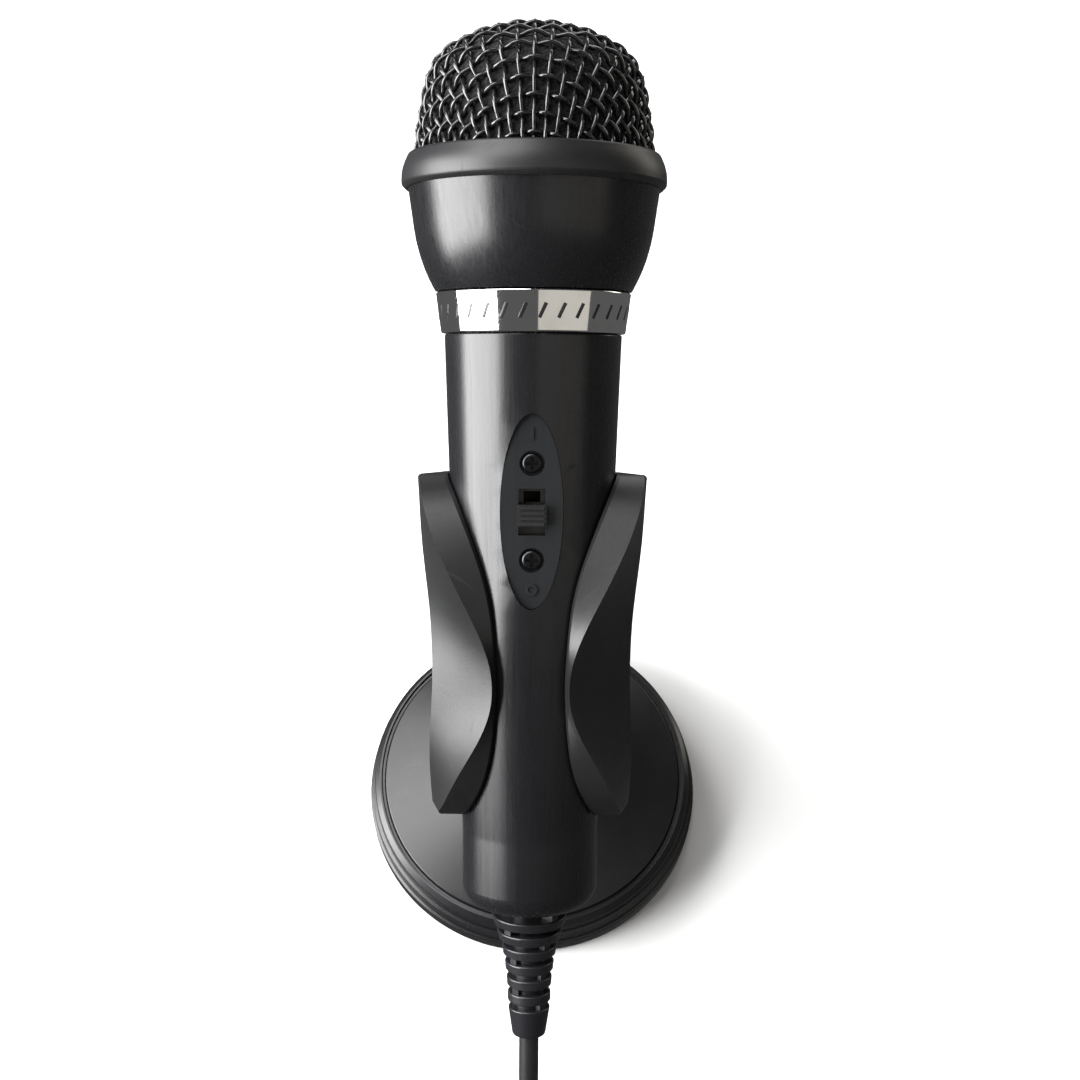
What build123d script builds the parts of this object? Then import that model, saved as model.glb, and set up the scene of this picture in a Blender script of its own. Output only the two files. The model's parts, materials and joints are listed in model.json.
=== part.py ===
"""Karaoke microphone on a tilting desk stand: one STEP file for each separate piece.

Millimetres, +Z up. The origin is the centre of the stand's underside, the clip's hinge runs
along X above it, and the microphone's head points towards +Y and up.
"""

from build123d import *
from math import atan, cos, hypot, pi, radians, sin, sqrt, tan
import os

# ---- driving dimensions -------------------------------------------------------------------
MIC_LENGTH = 169.1          # boot's root, where the microphone's frame starts, to the grille's top
HANDLE_LOW = 5.0            # the handle's end face
MIC_ELEVATION = 35.3        # the microphone's axis above the horizontal, at rest
PIVOT_HEIGHT = 63.0         # hinge above the desk
PIVOT_BEHIND_AXIS = 28.0    # hinge centre to the microphone's axis
PIVOT_FROM_TAIL = 40.4      # hinge centre from the handle's tail end, along the axis

BASE_RADIUS = 39.0
BASE_RIM_HEIGHT = 13.8
BASE_WALL = 2.2
PAD_THICKNESS = 1.0
COVER_THICKNESS = 1.8
COVER_SCREW_CIRCLE = 25.0   # radius
WEIGHT_THICKNESS = 6.0

FORK_GAP = 13.1
FORK_WIDTH = 21.5
FORK_RADIUS = 7.5
KNUCKLE_WIDTH = 12.0
KNUCKLE_RADIUS = 6.0
BOLT_RADIUS = 2.5
RUNNING_CLEARANCE = 0.05

HANDLE_WALL = 2.0
CLIP_CLEARANCE = 0.35       # radial, between the handle and the clip's bore

BAND_TOP_RADIUS = 18.0
BAND_END_RADIUS = 17.0
COLLAR_RADIUS = 14.3

PLATE_LENGTH = 35.0
PLATE_WIDTH = 11.2
PLATE_CENTRE = 81.4         # from the tail end
PLATE_SINK = 0.9            # its face below the handle's front line
PLATE_THICKNESS = 1.6
PLATE_SCREW_SPACING = 17.4
SLOT_LENGTH = 8.4
SLOT_WIDTH = 4.8
KNOB_LENGTH = 3.8
KNOB_WIDTH = 5.3
KNOB_REST = -0.5            # knob centre from the slot's centre, towards the tail
SWITCH_TRAVEL = 2.0

BOOT_LENGTH = 21.6
CORD_DIAMETER = 3.8
CORD_RADIUS = CORD_DIAMETER / 2
LEAD_INSIDE = 19.0          # cord from the tail end up to its anchor
LEAD_OUTSIDE = 33.0         # cord from the tail end to where the loose run begins

COIL_CENTRE = (-13.0, -160.0)
COIL_MEAN_RADIUS = 21.5
COIL_COLUMNS = 5
COIL_ROWS = 2
TIE_WIDTH = 8.0
TIE_THICKNESS = 0.8
PLUG_GRIP_RADIUS = 4.0
PLUG_GRIP_LENGTH = 22.0
PLUG_PIN_RADIUS = 1.75
PLUG_PIN_LENGTH = 14.0

# ---- placing frames -----------------------------------------------------------------------
SIN_E = sin(radians(MIC_ELEVATION))
COS_E = cos(radians(MIC_ELEVATION))
AXIS = Vector(0, COS_E, SIN_E)
FRONT = Vector(0, -SIN_E, COS_E)
PIVOT = Vector(0, 0, PIVOT_HEIGHT)
TAIL = PIVOT + FRONT * PIVOT_BEHIND_AXIS - AXIS * PIVOT_FROM_TAIL

# The microphone's frame: Z runs up its axis from the tail end, -Y is its front.
MIC = Plane(origin=TAIL, x_dir=(1, 0, 0), z_dir=AXIS)

nodes = {}


def from_head(distance):
    """Height above the tail end of a place measured down from the top of the grille."""
    return MIC_LENGTH - distance


def turned_face(outline):
    """A solid turned about Z from half its section, drawn with x as radius and y as height."""
    return revolve(Plane.XZ * make_face(outline), Axis.Z)


def turned(*corners, rounds=None):
    """A solid turned about Z from the corners (radius, height) of half its section."""
    if rounds is None:
        return turned_face(Polyline(*corners, close=True))
    return turned_face(FilletPolyline(*corners, radius=rounds, close=True))


def rod(radius, length, base=(0, 0, 0), direction=(0, 0, 1)):
    """A plain round bar from base, along direction."""
    start = Plane(origin=base, z_dir=direction)
    return extrude(start * Circle(radius), length)


def ring(outer, inner, low, high):
    """A plain ring about Z."""
    return rod(outer, high - low, (0, 0, low)) - rod(inner, high - low, (0, 0, low))


def block(x_size, y_size, low, high, x=0, y=0):
    """A rectangular block standing between two heights."""
    return Pos(x, y, (low + high) / 2) * Box(x_size, y_size, high - low)


# ---- microphone: handle -------------------------------------------------------------------
HANDLE_OUTLINE = [(12.95, HANDLE_LOW), (12.95, 20.0), (15.6, 90.0), (16.4, 113.1)]
TAIL_ROUND = 4.2
HANDLE_END_WALL = 3.0
HANDLE_TOP = HANDLE_OUTLINE[-1][1]
HANDLE_TAPER = (15.6 - 12.95) / (90.0 - 20.0)
BOOT_HOLE_RADIUS = 5.0


def handle_radius(height):
    """Outside radius of the handle over its long straight taper."""
    return max(12.95, 12.95 + HANDLE_TAPER * (height - 20.0))


plate_radius = handle_radius(PLATE_CENTRE)
taper_angle = atan(HANDLE_TAPER)
# The switch plate's frame: Z points out of the handle's front, Y towards the head.
PLATE = Plane(
    origin=(0, -plate_radius, PLATE_CENTRE),
    x_dir=(1, 0, 0),
    z_dir=(0, -cos(taper_angle), -sin(taper_angle)),
)


def oval(length, width, low, high):
    """An oval block in the plate's frame."""
    return Pos(0, 0, low) * extrude(Ellipse(width / 2, length / 2), high - low)


PLATE_TOP = -PLATE_SINK
PLATE_FLOOR = PLATE_TOP - PLATE_THICKNESS
FRAME_SHEET = 0.5
FRAME_LENGTH = 24.0
FRAME_WIDTH = 6.4
CAN_LENGTH = 11.6
CAN_DEPTH = 5.2
BOSS_DEPTH = 3.6            # plastic under the plate's floor

handle_outer = turned(
    (0, HANDLE_LOW), *HANDLE_OUTLINE, (0, HANDLE_TOP),
    rounds=[0, TAIL_ROUND, 20.0, 60.0, 0.4, 0],
)
bore_outline = [(r - HANDLE_WALL, z) for r, z in HANDLE_OUTLINE]
bore_low = HANDLE_LOW + HANDLE_END_WALL
bore_outline[0] = (bore_outline[0][0], bore_low + 2.5)
handle_bore = turned((0, bore_low), (7.5, bore_low), *bore_outline, (0, HANDLE_TOP))
switch_boss = PLATE * block(15.0, 39.0, PLATE_FLOOR - BOSS_DEPTH, 2.0)
screw_offsets = (-PLATE_SCREW_SPACING / 2, PLATE_SCREW_SPACING / 2)
screw_holes = [
    PLATE * rod(1.0, 12.0, (0, y, PLATE_FLOOR - 10.0)) for y in screw_offsets
]
handle_shell = (
    handle_outer
    - (handle_bore - switch_boss)
    - rod(BOOT_HOLE_RADIUS, HANDLE_END_WALL + 2.0, (0, 0, HANDLE_LOW - 1.0))
    - PLATE * oval(PLATE_LENGTH + 0.2, PLATE_WIDTH + 0.2, PLATE_FLOOR, 4.0)
    - PLATE * block(FRAME_WIDTH + 0.3, FRAME_LENGTH + 0.3, PLATE_FLOOR - FRAME_SHEET, 4.0)
    - PLATE * block(FRAME_WIDTH + 0.3, CAN_LENGTH + 0.3, -9.0, 4.0)
)
for hole in screw_holes:
    handle_shell -= hole
nodes["handle_shell"] = MIC * handle_shell

# ---- microphone: switch plate, screws and slide switch -------------------------------------
SCREW_HEAD_RADIUS = 1.8
SCREW_HEAD_HEIGHT = 1.1
RECESS_RADIUS = 2.25
RECESS_DEPTH = 1.0
MARK_HEIGHT = 0.25
MARK_PLACE = 14.0           # from the plate's centre

switch_plate = oval(PLATE_LENGTH, PLATE_WIDTH, PLATE_FLOOR, PLATE_TOP)
switch_plate -= block(SLOT_WIDTH, SLOT_LENGTH, PLATE_FLOOR, PLATE_TOP)
for y in screw_offsets:
    switch_plate -= rod(RECESS_RADIUS, RECESS_DEPTH, (0, y, PLATE_TOP - RECESS_DEPTH))
    switch_plate -= rod(1.1, PLATE_THICKNESS, (0, y, PLATE_FLOOR))
on_mark = block(0.6, 2.2, PLATE_TOP, PLATE_TOP + MARK_HEIGHT, y=MARK_PLACE)
off_mark = Pos(0, -MARK_PLACE, 0) * ring(1.1, 0.6, PLATE_TOP, PLATE_TOP + MARK_HEIGHT)
switch_plate = switch_plate + on_mark + off_mark
nodes["switch_plate"] = MIC * PLATE * switch_plate


def cross_recess(depth, span, width):
    """The driver recess of a cross-head screw, centred on Z and cut down from height 0."""
    return block(span, width, -depth, 0) + block(width, span, -depth, 0)


def pan_screw(head_radius, head_height, shank_radius, shank_length):
    """A cross-head pan screw, its head's underside at height 0 and its shank down -Z."""
    head = turned(
        (0, 0), (head_radius, 0), (head_radius, head_height), (0, head_height),
        rounds=[0, 0, head_height * 0.45, 0],
    )
    shank = turned(
        (0, 0), (shank_radius, 0), (shank_radius, -shank_length + shank_radius),
        (0, -shank_length),
    )
    recess = cross_recess(head_height * 0.6, head_radius * 1.25, head_radius * 0.3)
    return head + shank - Pos(0, 0, head_height) * recess


plate_screw = pan_screw(SCREW_HEAD_RADIUS, SCREW_HEAD_HEIGHT, 0.98, 7.0)
nodes["plate_screws"] = Compound([
    MIC * PLATE * Pos(0, y, PLATE_TOP - RECESS_DEPTH) * plate_screw for y in screw_offsets
])

can_floor = PLATE_FLOOR - CAN_DEPTH
STEM_WIDTH = 2.4
STEM_LENGTH = 3.4
frame_ears = block(FRAME_WIDTH, FRAME_LENGTH, PLATE_FLOOR - FRAME_SHEET, PLATE_FLOOR)
frame_can = block(FRAME_WIDTH, CAN_LENGTH, can_floor, PLATE_FLOOR)
frame_room = block(
    FRAME_WIDTH - 2 * FRAME_SHEET, CAN_LENGTH - 2 * FRAME_SHEET,
    can_floor, PLATE_FLOOR - FRAME_SHEET,
)
stem_slot = block(
    STEM_WIDTH + 0.6, STEM_LENGTH + SWITCH_TRAVEL + 0.8, -9.0, 4.0,
    y=KNOB_REST + SWITCH_TRAVEL / 2,
)
switch_frame = frame_ears + frame_can - frame_room - stem_slot
for y in screw_offsets:
    switch_frame -= rod(1.15, 2.0, (0, y, PLATE_FLOOR - 1.0))
nodes["switch_frame"] = MIC * PLATE * switch_frame

switch_base = block(FRAME_WIDTH, CAN_LENGTH, can_floor - 1.2, can_floor)
terminal = block(1.0, 0.4, can_floor - 4.2, can_floor - 1.2)
nodes["switch_base"] = MIC * PLATE * switch_base
nodes["switch_terminals"] = Compound([
    MIC * PLATE * Pos(0, y, 0) * terminal for y in (-3.5, 0.0, 3.5)
])

# ---- switch knob: slides in the plate's slot ----------------------------------------------
KNOB_BOTTOM = PLATE_TOP + 0.25
KNOB_HEIGHT = 1.15
KNOB_RIBS = 4
RIB_HEIGHT = 0.35
knob_cap = block(KNOB_WIDTH, KNOB_LENGTH, KNOB_BOTTOM, KNOB_BOTTOM + KNOB_HEIGHT)
knob_cap = fillet(knob_cap.edges().filter_by(Axis.Z), 0.35)
slider = block(FRAME_WIDTH - 1.6, STEM_LENGTH + 0.6, can_floor + 0.6, PLATE_FLOOR - 1.0)
switch_knob = knob_cap + block(STEM_WIDTH, STEM_LENGTH, can_floor + 0.6, KNOB_BOTTOM) + slider
rib_pitch = KNOB_LENGTH / KNOB_RIBS
rib_top = KNOB_BOTTOM + KNOB_HEIGHT
for n in range(KNOB_RIBS):
    rib_y = (n - (KNOB_RIBS - 1) / 2) * rib_pitch
    rib = block(KNOB_WIDTH - 0.8, rib_pitch * 0.5, rib_top, rib_top + RIB_HEIGHT, y=rib_y)
    switch_knob += rib
nodes["switch_knob"] = MIC * PLATE * Pos(0, KNOB_REST, 0) * switch_knob

# ---- microphone: head ---------------------------------------------------------------------
BOWL_TOP = from_head(29.9)
BOWL_END = from_head(48.4)
BAND_END = from_head(55.9)
RING_TOP = from_head(23.7)
WIRE_DIAMETER = 0.8
FOAM_INSET = 2.1 * WIRE_DIAMETER
FOAM_THICKNESS = 3.5


def dome_outline(inset):
    """The grille's half outline from its top to its rim, moved inwards by inset: three
    tangent arcs for the crown, the shoulder and the nearly straight wall."""
    start = (0, MIC_LENGTH - inset)
    crown = JernArc(start, (1, 0), 30.0 - inset, -31.0)
    shoulder = JernArc(crown @ 1, crown % 1, 10.3 - inset, -45.0)
    wall = JernArc(shoulder @ 1, shoulder % 1, 72.0 - inset, -13.0)
    return [crown, shoulder, wall]


def dome_shell(outside, thickness):
    """A domed shell between two insets from the grille's outline."""
    outer = dome_outline(outside)
    inner = dome_outline(outside + thickness)
    top = Line(inner[0] @ 0, outer[0] @ 0)
    rim = Line(outer[-1] @ 1, inner[-1] @ 1)
    return turned_face([*outer, rim, *inner, top])


nodes["grille_mesh"] = MIC * dome_shell(0.0, WIRE_DIAMETER)
nodes["grille_foam"] = MIC * dome_shell(FOAM_INSET, FOAM_THICKNESS)
mesh_rim = dome_outline(0.0)[-1] @ 1
ring_bore = mesh_rim.X + 0.05

clamp_ring = turned(
    (ring_bore, RING_TOP), (23.0, RING_TOP), (24.25, from_head(26.6)), (24.25, from_head(29.2)),
    (23.5, BOWL_TOP), (20.0, BOWL_TOP), (20.0, mesh_rim.Y - 0.05), (ring_bore, mesh_rim.Y - 0.05),
    rounds=[0.1, 0.7, 7.0, 0.9, 0.2, 0, 0, 0],
)
nodes["clamp_ring"] = MIC * clamp_ring

bowl_wall = 2.2
bowl_side = Line((23.0, BOWL_TOP), (22.0, from_head(36.9)))
bowl_curve = JernArc(bowl_side @ 1, bowl_side % 1, 32.0, -21.5)
bowl_inner_side = Line((23.0 - bowl_wall, BOWL_TOP), (22.0 - bowl_wall, from_head(37.1)))
bowl_inner_curve = JernArc(bowl_inner_side @ 1, bowl_inner_side % 1, 29.0, -19.0)
lip = Vector(17.3, BOWL_END)
bowl_outline = [
    bowl_side,
    bowl_curve,
    Line(bowl_curve @ 1, lip),
    Line(lip, (COLLAR_RADIUS + 0.05, BOWL_END)),
    Line((COLLAR_RADIUS + 0.05, BOWL_END), (COLLAR_RADIUS + 0.05, BOWL_END + 2.4)),
    Line((COLLAR_RADIUS + 0.05, BOWL_END + 2.4), bowl_inner_curve @ 1),
    bowl_inner_curve,
    bowl_inner_side,
    Line(bowl_inner_side @ 0, bowl_side @ 0),
]
nodes["head_bowl"] = MIC * turned_face(bowl_outline)

chrome_band = turned(
    (COLLAR_RADIUS + 0.05, BAND_END), (BAND_END_RADIUS, BAND_END),
    (BAND_TOP_RADIUS, BOWL_END - 0.05), (COLLAR_RADIUS + 0.05, BOWL_END - 0.05),
    rounds=[0, 0.35, 0.35, 0],
)
nodes["chrome_band"] = MIC * chrome_band

collar_bottom = from_head(65.1)
collar_top = BOWL_END + 5.0
head_collar = turned(
    (11.8, collar_bottom), (13.0, collar_bottom), (14.1, collar_bottom + 3.0),
    (COLLAR_RADIUS, HANDLE_TOP + 0.05), (COLLAR_RADIUS, BOWL_END + 2.5),
    (15.4, BOWL_END + 2.5), (15.4, collar_top), (11.8, collar_top),
)
nodes["head_collar"] = MIC * head_collar

carrier_top = from_head(27.0)
capsule_carrier = turned(
    (5.0, collar_top), (15.6, collar_top), (15.6, collar_top + 2.0), (9.0, collar_top + 2.0),
    (8.2, collar_top + 3.0), (8.2, carrier_top), (6.6, carrier_top), (6.6, collar_top + 4.0),
    (5.0, collar_top + 4.0),
)
nodes["capsule_carrier"] = MIC * capsule_carrier
CAPSULE_RADIUS = 4.85
CAPSULE_LENGTH = 6.7
capsule_low = collar_top + 10.0
nodes["capsule_grommet"] = MIC * ring(6.55, CAPSULE_RADIUS, capsule_low - 2.0, carrier_top + 1.5)
capsule = turned(
    (0, capsule_low), (CAPSULE_RADIUS, capsule_low), (CAPSULE_RADIUS, capsule_low + CAPSULE_LENGTH),
    (0, capsule_low + CAPSULE_LENGTH), rounds=[0, 0, 0.5, 0],
)
sound_holes = [
    Rot(0, 0, 60 * n) * rod(0.5, 2.0, (2.2, 0, capsule_low + CAPSULE_LENGTH - 0.6))
    for n in range(6)
]
for hole in sound_holes:
    capsule -= hole
nodes["capsule"] = MIC * capsule

# ---- microphone: wires, cord anchor and strain relief ---------------------------------------
WIRE_RADIUS = 0.55


def cord_radii(points):
    """Arc radius at each inner point: 0.45 of the shorter run over tan(half the turn)."""
    radii = []
    for before, here, after in zip(points, points[1:], points[2:]):
        run_in = Vector(here) - Vector(before)
        run_out = Vector(after) - Vector(here)
        half_turn = radians(run_in.get_angle(run_out)) / 2
        radii.append(0.45 * min(run_in.length, run_out.length) / tan(half_turn))
    return radii


def tube(points, radius):
    """A round tube along straight runs joined by tangent arcs."""
    path = FilletPolyline(*points, radius=cord_radii(points))
    section = Plane(origin=path @ 0, z_dir=path % 0) * Circle(radius)
    return sweep(section, path=path), path


wire_low = PLATE_CENTRE + 5.5
wires = []
for side in (-1, 1):
    wire_path = [
        (side * 1.3, 0, capsule_low - 0.1),
        (side * 1.6, 0, collar_top - 8.0),
        (side * 2.6, -1.0, collar_top - 20.0),
        (side * 2.6, -1.8, wire_low),
    ]
    wires.append(MIC * tube(wire_path, WIRE_RADIUS)[0])
nodes["capsule_wires"] = Compound(wires)

cord_wires = []
for side in (-1, 1):
    wire_path = [
        (side * 0.9, 0, LEAD_INSIDE + 0.1),
        (side * 1.1, 0, 30.0),
        (side * 2.4, -1.6, 48.0),
        (side * 2.4, -1.9, PLATE_CENTRE - 6.5),
    ]
    cord_wires.append(MIC * tube(wire_path, WIRE_RADIUS)[0])
nodes["cord_wires"] = Compound(cord_wires)

anchor_low = bore_low + 0.6
nodes["cord_anchor"] = MIC * turned(
    (CORD_RADIUS, anchor_low), (6.4, anchor_low), (6.4, anchor_low + 2.0),
    (4.2, anchor_low + 3.0), (4.2, anchor_low + 8.4), (CORD_RADIUS, anchor_low + 8.4),
    rounds=[0, 0.4, 0.4, 0.8, 0.8, 0],
)

BOOT_RADII = [7.3, 6.3, 5.3, 4.75, 4.4, 4.15]
FIRST_RING_TOP = 2.7
RING_LENGTH = 1.9
GAP_LENGTH = 1.2
BRIDGE_WIDTH = 1.6
BOOT_END_RADIUS = 3.2
CORE_RADII = (3.9, 2.7)     # at the handle and at the last gap
boot_plug_radius = BOOT_HOLE_RADIUS - 0.05
boot_plug_top = bore_low + 0.5
core_end = FIRST_RING_TOP - len(BOOT_RADII) * (RING_LENGTH + GAP_LENGTH)
strain_relief_boot = turned(
    (CORD_RADIUS, boot_plug_top), (boot_plug_radius, boot_plug_top),
    (boot_plug_radius, HANDLE_LOW), (CORE_RADII[0], HANDLE_LOW), (CORE_RADII[1], core_end),
    (CORD_RADIUS, core_end),
)
bridge_top = HANDLE_LOW
ring_height = FIRST_RING_TOP
for n, radius in enumerate(BOOT_RADII):
    next_radius = BOOT_RADII[min(n + 1, len(BOOT_RADII) - 1)]
    low_radius = (radius + next_radius) / 2
    strain_relief_boot += turned(
        (CORD_RADIUS, ring_height), (radius, ring_height), (low_radius, ring_height - RING_LENGTH),
        (CORD_RADIUS, ring_height - RING_LENGTH),
        rounds=[0, 0.3, 0.3, 0],
    )
    bridge = block(BRIDGE_WIDTH, 2 * radius - 0.8, ring_height, bridge_top)
    bridge -= rod(CORD_RADIUS, bridge_top - ring_height, (0, 0, ring_height))
    strain_relief_boot += Rot(0, 0, 45 + 90 * (n % 2)) * bridge
    bridge_top = ring_height - RING_LENGTH
    ring_height -= RING_LENGTH + GAP_LENGTH
end_bridge = block(BRIDGE_WIDTH, 2 * BOOT_RADII[-1] - 0.8, ring_height, bridge_top)
end_bridge -= rod(CORD_RADIUS, bridge_top - ring_height, (0, 0, ring_height))
strain_relief_boot += Rot(0, 0, 45) * end_bridge
strain_relief_boot += turned(
    (CORD_RADIUS, ring_height), (BOOT_RADII[-1] - 0.1, ring_height),
    (BOOT_END_RADIUS, -BOOT_LENGTH), (CORD_RADIUS, -BOOT_LENGTH),
    rounds=[0, 0.3, 0.5, 0],
)
nodes["strain_relief_boot"] = MIC * strain_relief_boot

nodes["cord_lead"] = MIC * rod(CORD_RADIUS, LEAD_INSIDE + LEAD_OUTSIDE, (0, 0, -LEAD_OUTSIDE))

# ---- clip: a cradle of two wings on a hinge knuckle -----------------------------------------
# Each station: place from the tail end, half gap between the wings at the bore, ridge half
# width, ridge height above the wing's inner edge, side half width, side height.
CLIP_STATIONS = [
    (24.0, 11.7, 17.6, 0.2, 18.7, 0.0),
    (29.0, 9.2, 15.0, 0.9, 19.0, 1.0),
    (36.0, 7.2, 11.4, 1.5, 19.1, 2.5),
    (42.0, 6.5, 8.4, 1.9, 18.8, 3.4),
    (48.0, 6.2, 7.0, 2.2, 18.5, 4.0),
    (55.0, 6.4, 7.8, 2.2, 18.6, 3.6),
    (62.0, 7.0, 10.7, 1.9, 19.1, 2.5),
    (70.0, 8.7, 14.8, 1.4, 20.1, 1.3),
    (78.0, 11.6, 18.4, 0.8, 20.9, 0.5),
    (83.0, 13.7, 20.0, 0.4, 21.2, 0.2),
    (87.3, 15.7, 20.8, 0.1, 21.5, 0.2),
]
CLIP_EDGE = 0.8             # thickness of the wings' inner edges
CLIP_BACK = 18.5
CLIP_BACK_CORNER = (13.0, 15.0)
CLIP_END_ROUND = 0.8


def clip_section(height, gap, ridge, rise, side, side_height):
    """The clip's closed outline across the microphone: the wings' ends run straight out from
    the axis, and their front faces slope from the inner edges over the ridges to the sides."""
    bore = handle_radius(height) + CLIP_CLEARANCE
    edge_height = sqrt(bore**2 - gap**2)
    reach = (bore + CLIP_EDGE) / bore
    half = [
        (gap * reach, -edge_height * reach),
        (ridge, -edge_height - rise),
        (side, -side_height),
        CLIP_BACK_CORNER,
    ]
    other = [(-x, y) for x, y in reversed(half)]
    outline = [(0, 0), *half, (0, CLIP_BACK), *other]
    return Pos(0, 0, height) * make_face(Polyline(*outline, close=True))


clip_body = loft([clip_section(*station) for station in CLIP_STATIONS])
clip_low = CLIP_STATIONS[0][0]
clip_high = CLIP_STATIONS[-1][0]


def runs_round_an_end(edge):
    """Whether an edge of the clip lies in one of its ends, away from the axis."""
    ends = [edge @ 0, edge @ 1]
    level = abs(ends[0].Z - ends[1].Z) < 0.01
    at_end = abs(ends[0].Z - clip_low) < 0.01 or abs(ends[0].Z - clip_high) < 0.01
    clear = min(hypot(point.X, point.Y) for point in ends) > 1.0
    return level and at_end and clear


clip_body = fillet(clip_body.edges().filter_by(runs_round_an_end), CLIP_END_ROUND)
clip_bore = turned(
    (0, clip_low - 5.0), (handle_radius(clip_low - 5.0) + CLIP_CLEARANCE, clip_low - 5.0),
    (handle_radius(clip_high + 5.0) + CLIP_CLEARANCE, clip_high + 5.0), (0, clip_high + 5.0),
)
knuckle = rod(KNUCKLE_RADIUS, KNUCKLE_WIDTH,
              (-KNUCKLE_WIDTH / 2, PIVOT_BEHIND_AXIS, PIVOT_FROM_TAIL), (1, 0, 0))
web_height = PIVOT_BEHIND_AXIS - CLIP_BACK + 1.5
web = Pos(0, PIVOT_BEHIND_AXIS - web_height / 2, PIVOT_FROM_TAIL) * Box(
    KNUCKLE_WIDTH, web_height, 2 * KNUCKLE_RADIUS
)
knuckle_bore = rod(BOLT_RADIUS + RUNNING_CLEARANCE, KNUCKLE_WIDTH + 2.0,
                   (-KNUCKLE_WIDTH / 2 - 1.0, PIVOT_BEHIND_AXIS, PIVOT_FROM_TAIL), (1, 0, 0))
clip_cradle = clip_body + web + knuckle - clip_bore - knuckle_bore
nodes["clip_cradle"] = MIC * clip_cradle

# ---- stand: hinge -------------------------------------------------------------------------
WASHER_THICKNESS = 0.45
NUT_ACROSS_FLATS = 8.0
NUT_THICKNESS = 4.0
BOLT_HEAD_RADIUS = 4.6
BOLT_HEAD_THICKNESS = 2.6
fork_side = FORK_WIDTH / 2
bolt_end = fork_side + NUT_THICKNESS + 0.8

hinge_bolt = rod(BOLT_RADIUS, fork_side + bolt_end, (-bolt_end, 0, PIVOT_HEIGHT), (1, 0, 0))
bolt_head = Plane(origin=(fork_side, 0, PIVOT_HEIGHT), z_dir=(1, 0, 0)) * turned(
    (0, 0), (BOLT_HEAD_RADIUS, 0), (BOLT_HEAD_RADIUS, BOLT_HEAD_THICKNESS),
    (0, BOLT_HEAD_THICKNESS), rounds=[0, 0, 1.0, 0],
)
bolt_recess = Plane(origin=(fork_side + BOLT_HEAD_THICKNESS, 0, PIVOT_HEIGHT), z_dir=(1, 0, 0))
nodes["hinge_bolt"] = hinge_bolt + bolt_head - bolt_recess * cross_recess(1.6, 5.2, 1.1)

nut_face = Plane(origin=(-fork_side, 0, PIVOT_HEIGHT), z_dir=(-1, 0, 0))
nut_blank = extrude(RegularPolygon(NUT_ACROSS_FLATS / sqrt(3), 6), NUT_THICKNESS)
nut_blank = nut_blank & turned(
    (0, 0), (4.9, 0), (4.9, NUT_THICKNESS - 0.5), (4.1, NUT_THICKNESS), (0, NUT_THICKNESS)
)
nodes["hinge_nut"] = nut_face * (nut_blank - rod(BOLT_RADIUS, NUT_THICKNESS))

washer_start = KNUCKLE_WIDTH / 2 + 0.05
nodes["hinge_washers"] = Compound([
    Plane(origin=(side * washer_start, 0, PIVOT_HEIGHT), z_dir=(side, 0, 0))
    * ring(5.6, BOLT_RADIUS, 0, WASHER_THICKNESS)
    for side in (-1, 1)
])

# ---- stand: neck post ---------------------------------------------------------------------
DOME_TOP = 20.0             # where the base's domed top meets the neck
NECK_FLANGE_RADIUS = 13.0
NECK_SCREW_RADIUS = 2.0
FORK_FLOOR = PIVOT_HEIGHT - FORK_RADIUS - 1.5

neck_sections = [
    Pos(0, 0, DOME_TOP) * Circle(NECK_FLANGE_RADIUS - 1.0),
    Pos(0, 0, DOME_TOP + 8.0) * Ellipse(8.8, 8.2),
    Pos(0, 0, PIVOT_HEIGHT - 22.0) * Ellipse(9.0, 7.4),
    Pos(0, 0, FORK_FLOOR - 1.0) * Ellipse(FORK_WIDTH / 2, FORK_RADIUS),
]
neck_post = loft(neck_sections)
neck_post += rod(NECK_FLANGE_RADIUS, 1.6, (0, 0, DOME_TOP))
neck_post += rod(6.0, 3.0, (0, 0, DOME_TOP - 3.0))
fork_start = (-FORK_WIDTH / 2, 0, PIVOT_HEIGHT)
fork = rod(FORK_RADIUS, FORK_WIDTH, fork_start, (1, 0, 0))
fork += block(FORK_WIDTH, 2 * FORK_RADIUS, FORK_FLOOR - 3.0, PIVOT_HEIGHT)
fork_edges = fork.edges().filter_by(Axis.Z)
neck_post += fillet(fork_edges, 2.5)
neck_post -= block(FORK_GAP, 40.0, FORK_FLOOR, PIVOT_HEIGHT + 20.0)
neck_post -= rod(BOLT_RADIUS, FORK_WIDTH + 2.0, (-FORK_WIDTH / 2 - 1.0, 0, PIVOT_HEIGHT), (1, 0, 0))
neck_post -= rod(NECK_SCREW_RADIUS, 16.0, (0, 0, DOME_TOP - 3.0))
nodes["neck_post"] = neck_post

# ---- stand: base --------------------------------------------------------------------------
shell_bottom = PAD_THICKNESS
cover_top = PAD_THICKNESS + COVER_THICKNESS
cavity_top = DOME_TOP - 3.0 - 2.2
base_shell = turned(
    (0, shell_bottom), (BASE_RADIUS, shell_bottom), (38.9, 5.2), (38.3, 5.5), (38.1, 9.3),
    (37.4, 9.6), (37.2, 12.6), (36.0, BASE_RIM_HEIGHT),
    (35.6, BASE_RIM_HEIGHT), (35.4, 13.1), (34.9, 13.1), (34.5, BASE_RIM_HEIGHT),
    (14.2, DOME_TOP - 0.4), (14.2, DOME_TOP), (0, DOME_TOP),
    rounds=[0, 0.4, 0.2, 0.1, 0.2, 0.1, 0.5, 0.1, 0, 0, 0, 0.3, 0, 0, 0],
)
base_cavity = turned(
    (0, shell_bottom), (36.8, shell_bottom), (36.8, cover_top), (35.2, cover_top),
    (34.2, 11.0), (12.0, cavity_top), (0, cavity_top),
)
screw_places = [Rot(0, 0, 90 + 120 * n) * Pos(COVER_SCREW_CIRCLE, 0, 0) for n in range(3)]
screw_pillars = [place * rod(3.6, 20.0, (0, 0, cover_top)) for place in screw_places]
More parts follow.
